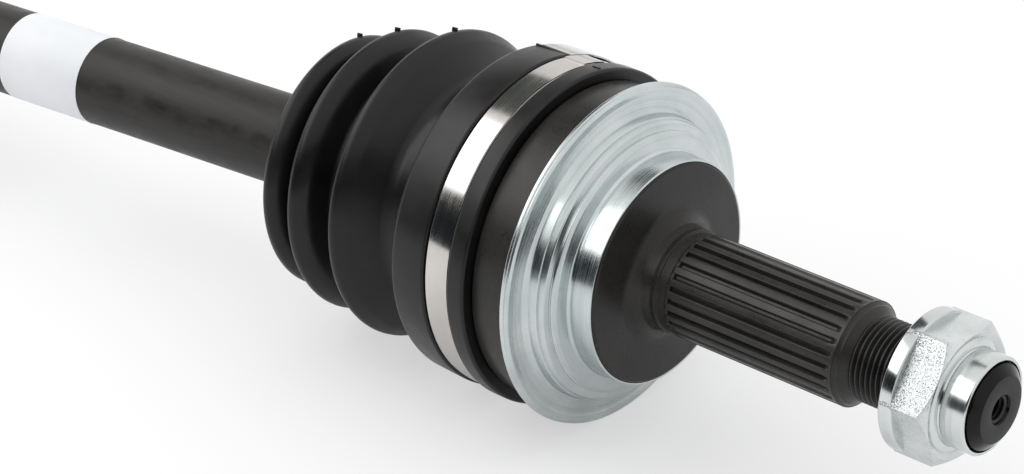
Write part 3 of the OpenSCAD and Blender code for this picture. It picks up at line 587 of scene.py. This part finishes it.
def shieldShape():
    q = shield
    f, t = q["frontX"], q["sheet"]
    return spun([
        (q["collarX"], q["innerR"], 0.2), (q["collarX"], q["innerR"] + 0.57, 0.25), *q["steps"],
        *[(f + x, r, rounding) for x, r, rounding in q["flange"]],
        (f - 1.75, q["rimR"], 0.35), (f - 1.95, q["rimR"] - t, 0.25), (f - 1.2, q["rimR"] - t - 0.4, 0.3),
        (f - t, 42.4), (f - t + 0.1, 39.0), *q["back"], (-7.6, q["innerR"])
    ], closed=True, steps=224)


piece("dust_shield_plate", shieldShape(), shieldZinc, "outer_joint", ["dust_shield"], crease=40)
print("dust shield made")


# outer boot

boot = {"front": -28.6, "seatR": 41.25, "flangeR": 45.3, "clampX": -38.2, "clampW": 7.2, "clampR": 43.7,
        "rearR": 44.6, "collarRear": -54, "waistR": 32.8, "smallFrom": -112, "smallEnd": -121,
        "smallR": 15.5, "boreR": 13.0,
        "folds": [(-77.7, 42.6), (-94.7, 39.0), (-106.1, 35.1)], "valleys": [(-87.0, 28.6), (-101.4, 25.6)],
        # the shape of one fold and of its lining, from its crest: (x, radius, rounding)
        "fold": [(4.4, -2.6, 6.0), (0.2, 0.35, 2.1), (-3.6, -4.4, 3.0)],
        "lining": [(4.0, -5.0, 4.0), (0, -2.4, 1.4), (-2.2, -6.0, 1.6)],
        # moulding marks: length, width, height and edge
        "nib": (1.6, 0.5, 1.2, 0.15), "seam": (11.0, 0.7, 1.2, 0.2), "tab": (2.4, 0.8, 1.0, 0.2),
        "seamTurn": 79, "tabTurn": 80}


def bootOutline():
    q = boot
    front, rear = q["clampX"] + q["clampW"] / 2, q["clampX"] - q["clampW"] / 2
    outside = [
        (q["front"], q["seatR"], 0.3), (q["front"], q["flangeR"], 0.9),
        (front + 0.5, q["flangeR"], 0.8), (front + 0.4, q["clampR"], 0.3),
        (rear - 0.4, q["clampR"], 0.3), (rear - 0.6, q["rearR"] + 0.5, 0.9),
        (q["collarRear"], q["rearR"], 2.0), (q["collarRear"] - 1.4, q["waistR"] + 3.6, 3.0),
        (-60.5, q["waistR"] + 0.3, 3.5), (-66.5, q["waistR"], 4.0),
    ]
    inside = [(q["front"], q["seatR"] - 0.02), (-48.4, q["seatR"] - 0.02, 0.5), (-49, q["rearR"] - 5, 1),
              (q["collarRear"] - 0.4, q["waistR"] + 1.7, 2.0), (-60.5, q["waistR"] - 1.8, 2.5),
              (-67, q["waistR"] - 2, 2.5)]
    for (x, r), valley in zip(q["folds"], [*q["valleys"], None]):
        outside += [(x + dx, r + dr, rounding) for dx, dr, rounding in q["fold"]]
        inside += [(x + dx, r + dr, rounding) for dx, dr, rounding in q["lining"]]
        if valley:
            outside += [(valley[0] + 0.2, valley[1], 1.6)]
            inside += [(valley[0] + 0.6, valley[1] - 2.2, 1.2)]
    outside += [(q["smallFrom"] + 2.4, q["smallR"] + 5, 1.8), (q["smallFrom"] + 1, q["smallR"], 0.8),
                (q["smallEnd"], q["smallR"], 0.6), (q["smallEnd"], q["boreR"], 0.3)]
    inside += [(q["smallFrom"] + 1, q["boreR"] + 1.4, 1), (q["smallFrom"] - 1.5, q["boreR"] + 0.02, 0.6)]
    return outside + inside[::-1]


def bentBoot(bm):
    # the boot takes up the joint's rest bend evenly between its collar and its small end
    start, end = boot["collarRear"] * mm, boot["smallFrom"] * mm
    for v in bm.verts:
        t = min(1, max(0, (v.co.x - start) / (end - start)))
        turn = Matrix.Rotation(restBend * t * t * (3 - 2 * t), 3, bendAxis)
        v.co = jointPlace + turn @ (v.co - jointPlace)
    return bm


def mouldMark(size, place):
    # a small box with rounded edges, set at a place round the stub
    length, width, height, edge = (s * mm for s in size)
    bm = bmesh.new()
    bmesh.ops.create_cube(bm, size=1)
    bm.transform(Matrix.Diagonal((length, width, height, 1)))
    bmesh.ops.bevel(bm, geom=bm.edges[:], offset=edge, segments=3, profile=0.5, affect="EDGES", material=-1)
    bm.transform(place)
    return bm


def roundStub(x, r, degrees):
    return Matrix.Rotation(math.radians(degrees - 90), 4, "X") @ Matrix.Translation((x * mm, 0, r * mm))


def bootMarks():
    # moulding nibs on the crests, the seam on the collar and a tab beside the clamp's ear
    q = boot
    marks = [mouldMark(q["nib"], roundStub(x - 0.2, r - 0.25, q["seamTurn"])) for x, r in q["folds"]]
    marks.append(mouldMark(q["seam"], roundStub(q["collarRear"] + 6.4, q["rearR"] - 0.1, q["seamTurn"] - 2)))
    marks.append(mouldMark(q["tab"], roundStub(q["front"] - 2.4, q["flangeR"] - 0.25, q["tabTurn"])))
    return marks


outerBoot = piece("boot_outer", bentBoot(joined(spun(bootOutline(), closed=True, steps=224), *bootMarks())),
                  bootRubber, standsFor=["outer_boot"], crease=50)
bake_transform(outerBoot)
print("outer boot made")


# clamps

clamp = {"x": boot["clampX"], "seatR": 43.74, "width": boot["clampW"], "sheet": 0.8, "lap": 0.25,
         "earLength": 8, "ear": 75, "overlap": 76}
tongue = {"x": -46.2, "width": 9.5, "r": 44.9, "sheet": 0.4, "from": 52, "to": 77}
smallClamp = {"fromEnd": 4.5, "seatR": 15.8, "width": 6, "sheet": 0.8, "ear": 0, "overlap": 100}


def strip(x, seatR, width, sheet, turnFrom, turnTo):
    # part of a band, between two turns in degrees
    bm = bmesh.new()
    corners = ((x - width / 2, seatR), (x - width / 2, seatR + sheet),
               (x + width / 2, seatR + sheet), (x + width / 2, seatR))
    verts = [bm.verts.new((a * mm, r * mm, 0)) for a, r in corners]
    face = bm.faces.new(verts)
    start = Matrix.Rotation(math.radians(turnFrom), 3, "X")
    bmesh.ops.rotate(bm, verts=verts, cent=(0, 0, 0), matrix=start)
    bmesh.ops.spin(bm, geom=verts + face.edges[:] + [face], cent=(0, 0, 0), axis=(1, 0, 0),
                   angle=math.radians(turnTo - turnFrom), steps=max(3, round((turnTo - turnFrom) / 2)))
    bmesh.ops.recalc_face_normals(bm, faces=bm.faces)
    return bm


def clampShape(q, x, place=stubPlace):
    # the closed band, the outer layer that laps over it, and its flattened ear
    seatR, width, sheet, ear = q["seatR"], q["width"], q["sheet"], q["ear"]
    band = spun([
        (x - width / 2, seatR, 0.15), (x - width / 2, seatR + sheet, 0.2),
        (x + width / 2, seatR + sheet, 0.2), (x + width / 2, seatR, 0.15)
    ], closed=True, steps=224)
    half = math.degrees(clamp["earLength"] / 2 / (seatR + sheet))
    lap = strip(x, seatR + sheet - 0.1, width - 0.3, clamp["lap"] + 0.1, ear, ear + q["overlap"])
    fold = strip(x, seatR + sheet - 0.1, width - 0.6, clamp["lap"] + 0.45, ear - half, ear + half)
    bm = joined(band, lap, fold)
    bm.transform(place)
    return bm


piece("clamp_large", joined(
    clampShape(clamp, clamp["x"]),
    strip(tongue["x"], tongue["r"], tongue["width"], tongue["sheet"], tongue["from"], tongue["to"])
), clampSteel, "outer_joint", ["outer_clamp_large"])
smallClampX = boot["smallEnd"] - jointPlace.x / mm + smallClamp["fromEnd"]
piece("clamp_small", clampShape(smallClamp, smallClampX, barPlace), clampSteel, "shaft",
      ["outer_clamp_small"])
print("clamps made")


# axle nut

nut = {"x": 77.4, "acrossFlats": 32, "height": 13.0, "turn": -5, "sunk": 0.6, "spare": 1,
       "chamferDepth": 1.75, "dish": 0.7, "dishR": 14.5, "washerH": 3.9, "washerR": 18.15,
       "collarR": 12.4, "collarEnd": 20.2, "boreR": 11.08, "boreGap": 0.3}


def hexShape():
    # a hexagon from inside the washer face to past its end, cut to a chamfered and dished end
    q = nut
    top = q["x"] + q["height"]
    corner = q["acrossFlats"] / 2 / math.cos(math.pi / 6)
    bm = bmesh.new()
    bmesh.ops.create_cone(bm, cap_ends=True, segments=6, radius1=corner * mm, radius2=corner * mm,
                          depth=(q["height"] + q["spare"] - q["sunk"]) * mm)
    bm.transform(Matrix.Translation(((q["x"] + (q["height"] + q["spare"] + q["sunk"]) / 2) * mm, 0, 0))
                 @ Matrix.Rotation(math.radians(q["turn"]), 4, "X") @ Matrix.Rotation(math.pi / 2, 4, "Y"))
    cone = spun([
        (q["x"] - 1, 0), (q["x"] - 1, corner + 1), (q["x"] + 2, corner + 1),
        (top - q["chamferDepth"], corner + 0.05), (top, q["acrossFlats"] / 2 - 0.05),
        (top - q["dish"], q["dishR"]), (top - q["dish"], 0)
    ], steps=256)
    boreR = q["boreR"] + q["boreGap"]
    bore = spun([(q["x"] - 2, 0), (q["x"] - 2, boreR), (top + 17, boreR), (top + 17, 0)])
    return combined(combined(bm, cone, "INTERSECT"), bore, "DIFFERENCE")


def washerShape():
    q = nut
    top = q["x"] + q["washerH"]
    return spun([
        (q["x"] + 0.1, q["boreR"] + 1.2, 0.4), (q["x"], q["boreR"] + 1.8), (q["x"], q["washerR"] - 0.5, 0.4),
        (q["x"] + 0.5, q["washerR"], 0.4), (top - 0.3, q["washerR"], 0.25), (top, q["washerR"] - 0.6, 0.4),
        (top + 0.2, q["washerR"] - 3.5), (top + 0.2, q["boreR"]), (q["x"] + 1.2, q["boreR"])
    ], closed=True, steps=192)


def collarShape():
    q = nut
    top, end = q["x"] + q["height"], q["x"] + q["collarEnd"]
    return spun([
        (top - 3, q["boreR"]), (top - 3, q["dishR"] - 1), (top - 1.2, q["dishR"] - 0.15),
        (top - 0.55, q["dishR"] - 0.12, 0.12), (top - 0.1, q["dishR"] - 1.1, 0.8),
        (top + 0.15, q["collarR"] + 0.22, 0.12), (top - 0.1, q["collarR"] - 0.1),
        (top + 0.4, q["collarR"] - 0.35, 0.1), (top + 0.75, q["collarR"], 0.3),
        (end - 0.35, q["collarR"] - 0.02, 0.3), (end, q["collarR"] - 0.35, 0.15),
        (end, q["boreR"] + 0.4, 0.15), (end - 1.6, q["boreR"] + 0.02, 0.3)
    ], closed=True, steps=192)


piece("nut_hexagon", hexShape(), flatZinc, "axle_nut", ["axle_nut"], crease=20)
piece("nut_washer_face", washerShape(), nutZinc, "axle_nut")
piece("nut_collar", collarShape(), nutZinc, "axle_nut")
print("axle nut made")


# bar and label

# places along the bar are measured from the joint centre at that end, the label's from the outer one
bar = {"r": 12.6, "endR": 12.3, "neckR": 11.5, "span": 440, "cone": 5,
       "outerEnd": 16, "outerSeat": 14, "outerNeck": 62, "innerEnd": 14.5, "innerSeat": 12.1, "innerNeck": 60,
       "labelX": -162, "labelW": 30, "labelSheet": 0.12, "labelGap": 0.03}


def barShape():
    q = bar
    spider = -q["span"]
    return spun([
        (q["outerEnd"], 0), (q["outerEnd"], q["endR"], 1), (-q["outerSeat"], q["endR"]),
        (-q["outerSeat"] - 1, q["neckR"], 0.8), (-q["outerNeck"], q["neckR"], 3),
        (-q["outerNeck"] - q["cone"], q["r"], 3), (spider + q["innerNeck"] + q["cone"], q["r"], 3),
        (spider + q["innerNeck"], q["neckR"], 3), (spider + q["innerSeat"] + 1, q["neckR"]),
        (spider + q["innerSeat"], q["endR"]), (spider - q["innerSeat"], q["endR"]),
        (spider - q["innerEnd"], q["endR"] - 2.4, 0.4), (spider - q["innerEnd"], 0)
    ], place=barPlace, steps=128)


def labelShape():
    q = bar
    t, r = q["labelSheet"], q["r"] + q["labelGap"]
    x0, x1 = q["labelX"] - q["labelW"], q["labelX"]
    return spun([(x0, r), (x0, r + t), (x1, r + t), (x1, r)], closed=True, place=barPlace, steps=128)


piece("bar_tube", barShape(), barPaint, "shaft", ["bar"])
piece("label_sleeve", labelShape(), labelPaper, "shaft", ["paper_label"])
print("bar and label made")


# inner joint

# x is 0 at the spider and grows towards the bar
inner = {"mouth": 24, "mouthR": 30, "seatR": 36, "seatLen": 14, "outerR": 38, "end": -57, "bossR": 24,
         "bossLen": 9, "sealR": 17.5, "sealLen": 20, "landR": 24, "landEnd": 7, "floor": -49,
         "trackFloor": -45, "trackW": 15, "rollerR": 17.4, "pitchR": 22.5, "trackCorner": 3.2,
         "splineLen": 38, "tipR": 13, "teeth": 27, "depth": 1.1,
         "clipX": 6.8, "clipHalf": 0.95, "clipDepth": 1.7}  # the circlip's groove, from the stub's end


def housingShape():
    q = inner
    boss = q["end"] - q["bossLen"]
    seal = boss - q["sealLen"]
    body = spun([
        (q["floor"], 0), (q["floor"], q["landR"], 2), (q["landEnd"], q["landR"], 1),
        (q["mouth"], q["mouthR"], 0.3), (q["mouth"], q["seatR"], 0.8),
        (q["mouth"] - q["seatLen"], q["seatR"], 0.4), (q["mouth"] - q["seatLen"], q["outerR"], 0.8),
        (q["end"] + 4, q["outerR"], 3), (q["end"], q["outerR"] - 7, 2.5),
        (q["end"] - 1, q["bossR"] + 1, 2), (q["end"] - 3, q["bossR"], 0.8), (boss, q["bossR"], 0.5),
        (boss, q["sealR"], 1.2), (seal, q["sealR"], 1.0), (seal - 3, q["tipR"] - q["depth"] - 0.1, 0.5),
        (seal - 5, q["tipR"] - q["depth"] - 0.1), (seal - 5, 0)
    ], steps=192)
    out = q["mouth"] + 1
    tools = []
    for i in range(3):
        tool = bmesh.new()
        bmesh.ops.create_cube(tool, size=1)
        tool.transform(Matrix.Rotation(math.pi / 2 + i * fullTurn / 3, 4, "X")
                       @ Matrix.Translation(((out + q["trackFloor"]) / 2 * mm, q["pitchR"] * mm, 0))
                       @ Matrix.Diagonal(((out - q["trackFloor"]) * mm, q["trackW"] * mm,
                                          2 * q["rollerR"] * mm, 1)))
        long = [e for e in tool.edges if abs((e.verts[0].co - e.verts[1].co).x) > 0.02]
        bmesh.ops.bevel(tool, geom=long, offset=q["trackCorner"] * mm, segments=6, profile=0.5,
                        affect="EDGES", material=-1)
        tools.append(tool)
    bm = combined(body, joined(*tools), "DIFFERENCE")
    bm.transform(spiderHome)
    return bm


def innerSplineShape():
    q = inner
    tail = q["end"] - q["bossLen"] - q["sealLen"]
    low, high = tail - q["splineLen"], tail - 3
    clip, half = low + q["clipX"], q["clipHalf"]

    def radiusAt(x, angle):
        ramp = min(1, max(0, (x - low) / 1.2), max(0, (high - x) / 1.2))
        limit = q["tipR"] - (q["clipDepth"] if abs(x - clip) < half else 0)
        tip = q["tipR"] - q["depth"] + q["depth"] * toothHeight(toothPhase(angle, q["teeth"]))
        return min(tip, q["tipR"] - q["depth"] - 0.2 + 1.4 * ramp, limit)

    marks = (-0.5, -0.42, -0.375, -0.36, -0.275, -0.255, -0.1, 0.1, 0.255, 0.275, 0.36, 0.375, 0.42)
    angles = [(k + m) / q["teeth"] * fullTurn for k in range(q["teeth"]) for m in marks]
    places = [low + 0.4, low + 0.8, low + 1.2, clip - half - 0.05, clip - half + 0.01, clip + half - 0.01,
              clip + half + 0.05, low + 18, high - 1.2, high - 0.8, high - 0.4, high]
    bm = swept(low, places, radiusAt, angles)
    bm.transform(spiderHome)
    return bm


piece("inner_housing_forging", housingShape(), blackForging, "inner_joint", ["inner_housing"])
piece("inner_stub_spline", innerSplineShape(), blackTeeth, "inner_joint", crease=28)

dustRing = {"x": inner["end"] - inner["bossLen"], "boreR": 24.02, "collarR": 25.2, "collarLen": 4,
            "sheet": 1.2, "outerR": 32}


def dustRingShape():
    q = dustRing
    front, end = q["x"] + q["sheet"], q["x"] + q["collarLen"]
    return spun([
        (q["x"], q["boreR"]), (end, q["boreR"], 0.3), (end, q["collarR"], 0.4), (front, q["collarR"], 0.8),
        (front, q["outerR"], 0.5), (q["x"], q["outerR"], 0.5)
    ], closed=True, place=spiderHome)


ringZinc = zincPlate("zinc ring", spiderHome, pressedShades)
piece("inner_dust_plate", dustRingShape(), ringZinc, "inner_joint", ["inner_dust_ring"])
print("inner housing made")


# inner boot

innerBoot = {"front": 10.3, "mouth": 24, "seatR": 36.3, "clampR": 37.4, "end": 102, "smallLen": 9,
             "smallR": 15.5, "boreR": 12.92, "wall": 2, "split": 54.2,
             "crests": [(30.5, 37.1), (40.0, 37.1), (49.5, 37.2), (59.0, 37.5), (68.2, 35.3), (76.6, 29.6),
                        (84.6, 22.8)],
             "dips": [(35.2, 34.9), (44.8, 34.9), (54.2, 35.5), (64.2, 35.4), (72.8, 30.3), (81.0, 23.6),
                      (89.4, 17.2)]}
innerClamp = {"fromMouth": 7, "seatR": 37.7, "width": 7.2, "sheet": 0.8, "ear": 270, "overlap": 90}


def innerBootOutline():
    # the first folds are wide, so that they clear the bar when the joint bends; the rest taper to it
    q = innerBoot
    outside = [(q["front"], q["seatR"], 0.3), (q["front"], q["clampR"], 0.6),
               (q["mouth"] + 1, q["clampR"], 1.0), (q["mouth"] + 2.6, q["clampR"] - 2.4, 0.8)]
    inside = [(q["mouth"] + 0.3, q["seatR"], 0.3), (q["mouth"] + 0.3, q["seatR"] - 3.3, 0.6)]
    for (x, r), (dipX, dipR) in zip(q["crests"], q["dips"]):
        outside += [(x, r + 0.6, 2.0), (dipX, dipR - 0.6, 1.6)]
        inside += [(x, r - 1.7, 1.4), (dipX, dipR - q["wall"] - 0.2, 1.2)]
    tail = q["end"] - q["smallLen"]
    outside += [(tail, q["smallR"], 1.2), (q["end"], q["smallR"], 0.6), (q["end"], q["boreR"], 0.3)]
    inside += [(tail, q["boreR"] + 0.02, 0.6)]
    return outside + inside[::-1]


def innerBootHalf(keepMouth):
    # the boot cut in two at the split: keepMouth keeps the half at the mouth, otherwise the half towards the
    # bar
    bm = spun(innerBootOutline(), closed=True, steps=192)
    bmesh.ops.bisect_plane(bm, geom=bm.verts[:] + bm.edges[:] + bm.faces[:],
                           plane_co=(innerBoot["split"] * mm, 0, 0), plane_no=(1, 0, 0),
                           clear_outer=keepMouth, clear_inner=not keepMouth)
    bmesh.ops.bridge_loops(bm, edges=[e for e in bm.edges if len(e.link_faces) == 1])
    bm.transform(spiderHome)
    return bm


mouthHalf = piece("boot_inner_mouth", innerBootHalf(True), bootRubber, standsFor=["inner_boot"],
                  crease=50)
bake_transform(mouthHalf)
tailHalf = piece("boot_inner_tail", innerBootHalf(False), bootRubber, crease=50)
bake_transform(tailHalf)
piece("inner_clamp_band", clampShape(innerClamp, innerBoot["mouth"] - innerClamp["fromMouth"], spiderHome),
      clampSteel, "inner_joint", ["inner_clamp_large"])
piece("inner_clamp_small_band", clampShape(smallClamp, innerBoot["end"] - smallClamp["fromEnd"], spiderHome),
      clampSteel, "shaft", ["inner_clamp_small"])
print("inner boot made")


# pieces kept from the frame

for name, node in frame["nodes"].items():
    if not node.hide_render:
        node.data.materials.clear()
        node.data.materials.append(bearingSteel)
print("bearing pieces finished")


# floor, light and camera

# metres, but for the floor's height in mm; cards: colour, turns and heights in degrees round the hub
stage = {"floor": -45.5, "floorSize": 12, "floorGlow": 0.55, "floorGlowInGloss": 0.25, "worldLight": 0.4,
         "cardR": 0.72,
         "darkCard": ((0.016, 0.02, 0.024, 1), -142, -20, -3.6, 24),
         "greyCard": ((0.09, 0.1, 0.095, 1), 130, 178, 36, 62),
         "overhead": {"place": (-0.45, 0.35, 1.5), "width": 3.0, "height": 3.0, "power": 31},
         "frontBox": {"place": (-0.71, -0.71, 0.9), "width": 1.7, "height": 0.8, "power": 6.8}}
view = {"place": (0.44057, -0.55181, 0.38222), "right": (0.7457, 0.6663, 0),
        "ahead": (-0.5894, 0.6596, -0.4665), "lens": 112.5, "sensor": 36, "clipEnd": 50}


def floorFinish():
    # pale matt floor that glows for the eye and in reflections, so that only the object's shadow shows
    b = Bench("studio floor", 0.0, 0.1, 0.9)
    b.put(b.shader, {"Base Color": (0.93, 0.93, 0.94, 1)})
    path = b.node("LightPath")
    glow = b.node("Emission", {"Color": (1, 1, 1, 1), "Strength": 1.0})
    direct = b.math("MAXIMUM", path.outputs["Is Camera Ray"], path.outputs["Is Transmission Ray"])
    share = b.math("MAXIMUM", b.math("MULTIPLY", direct, stage["floorGlow"]),
                   b.math("MULTIPLY", path.outputs["Is Glossy Ray"], stage["floorGlowInGloss"]))
    mixed = b.node("MixShader", {0: share, 1: b.shader.outputs[0], 2: glow.outputs[0]})
    out = b.tree.nodes["Material Output"]
    b.tree.links.new(mixed.outputs[0], out.inputs["Surface"])
    return b.material


def makeFloor():
    bm = bmesh.new()
    bmesh.ops.create_grid(bm, x_segments=8, y_segments=8, size=stage["floorSize"])
    bm.transform(Matrix.Translation((0, 0, stage["floor"] * mm)))
    obj = rawObject("floor", bm)
    obj.data.materials.append(floorFinish())


def makeCard(name, colour, turnFrom, turnTo, low, high):
    # a curved card that only reflections see
    bm = bmesh.new()
    r = stage["cardR"]
    ends = [bm.verts.new((r, 0, r * math.tan(math.radians(a)))) for a in (low, high)]
    edge = bm.edges.new(ends)
    bmesh.ops.rotate(bm, verts=ends, cent=(0, 0, 0), matrix=Matrix.Rotation(math.radians(turnFrom), 3, "Z"))
    bmesh.ops.spin(bm, geom=ends + [edge], cent=(0, 0, 0), axis=(0, 0, 1),
                   angle=math.radians(turnTo - turnFrom), steps=48)
    obj = rawObject(name, bm)
    b = Bench(name)
    glow = b.node("Emission", {"Color": colour, "Strength": 1.0})
    b.tree.links.new(glow.outputs[0], b.tree.nodes["Material Output"].inputs["Surface"])
    obj.data.materials.append(b.material)
    obj.visible_camera = obj.visible_diffuse = obj.visible_shadow = False
    obj.visible_transmission = obj.visible_volume_scatter = False


def makeWorld():
    world = bpy.data.worlds.new("studio")
    bpy.context.scene.world = world
    world.use_nodes = True
    tree = world.node_tree
    back = tree.nodes["Background"]
    path = tree.nodes.new("ShaderNodeLightPath")
    mix = tree.nodes.new("ShaderNodeMath")
    mix.operation = "MAXIMUM"
    tree.links.new(path.outputs["Is Camera Ray"], mix.inputs[0])
    gloss = tree.nodes.new("ShaderNodeMath")
    gloss.operation = "MAXIMUM"
    tree.links.new(path.outputs["Is Glossy Ray"], gloss.inputs[0])
    tree.links.new(path.outputs["Is Transmission Ray"], gloss.inputs[1])
    tree.links.new(gloss.outputs[0], mix.inputs[1])
    level = tree.nodes.new("ShaderNodeMapRange")
    level.inputs["To Min"].default_value = stage["worldLight"]
    level.inputs["To Max"].default_value = 1.0
    tree.links.new(mix.outputs[0], level.inputs["Value"])
    back.inputs["Color"].default_value = (1, 1, 1, 1)
    tree.links.new(level.outputs[0], back.inputs["Strength"])


def softbox(name, q):
    # a lamp that looks at the hub
    data = bpy.data.lights.new(name, "AREA")
    data.shape = "RECTANGLE"
    data.size, data.size_y = q["width"], q["height"]
    data.energy = q["power"]
    lamp = bpy.data.objects.new(name, data)
    lamp.location = q["place"]
    lamp.rotation_euler = (-Vector(q["place"])).to_track_quat("-Z", "Y").to_euler()
    bpy.context.scene.collection.objects.link(lamp)
    return lamp


def makeCamera():
    q = view
    right, ahead = Vector(q["right"]).normalized(), Vector(q["ahead"]).normalized()
    turn = Matrix((right, right.cross(ahead), -ahead)).transposed().to_4x4()
    data = bpy.data.cameras.new("camera")
    data.lens, data.sensor_width, data.clip_end = q["lens"], q["sensor"], q["clipEnd"]
    camera = bpy.data.objects.new("camera", data)
    camera.matrix_world = Matrix.Translation(q["place"]) @ turn
    bpy.context.scene.collection.objects.link(camera)
    bpy.context.scene.camera = camera


makeFloor()
makeWorld()
makeCard("dark card", *stage["darkCard"])
makeCard("grey card", *stage["greyCard"])
overhead = softbox("overhead", stage["overhead"])
overhead.visible_glossy = False
softbox("front box", stage["frontBox"])
makeCamera()
bpy.context.scene.view_settings.view_transform = "Standard"
print("stage set")
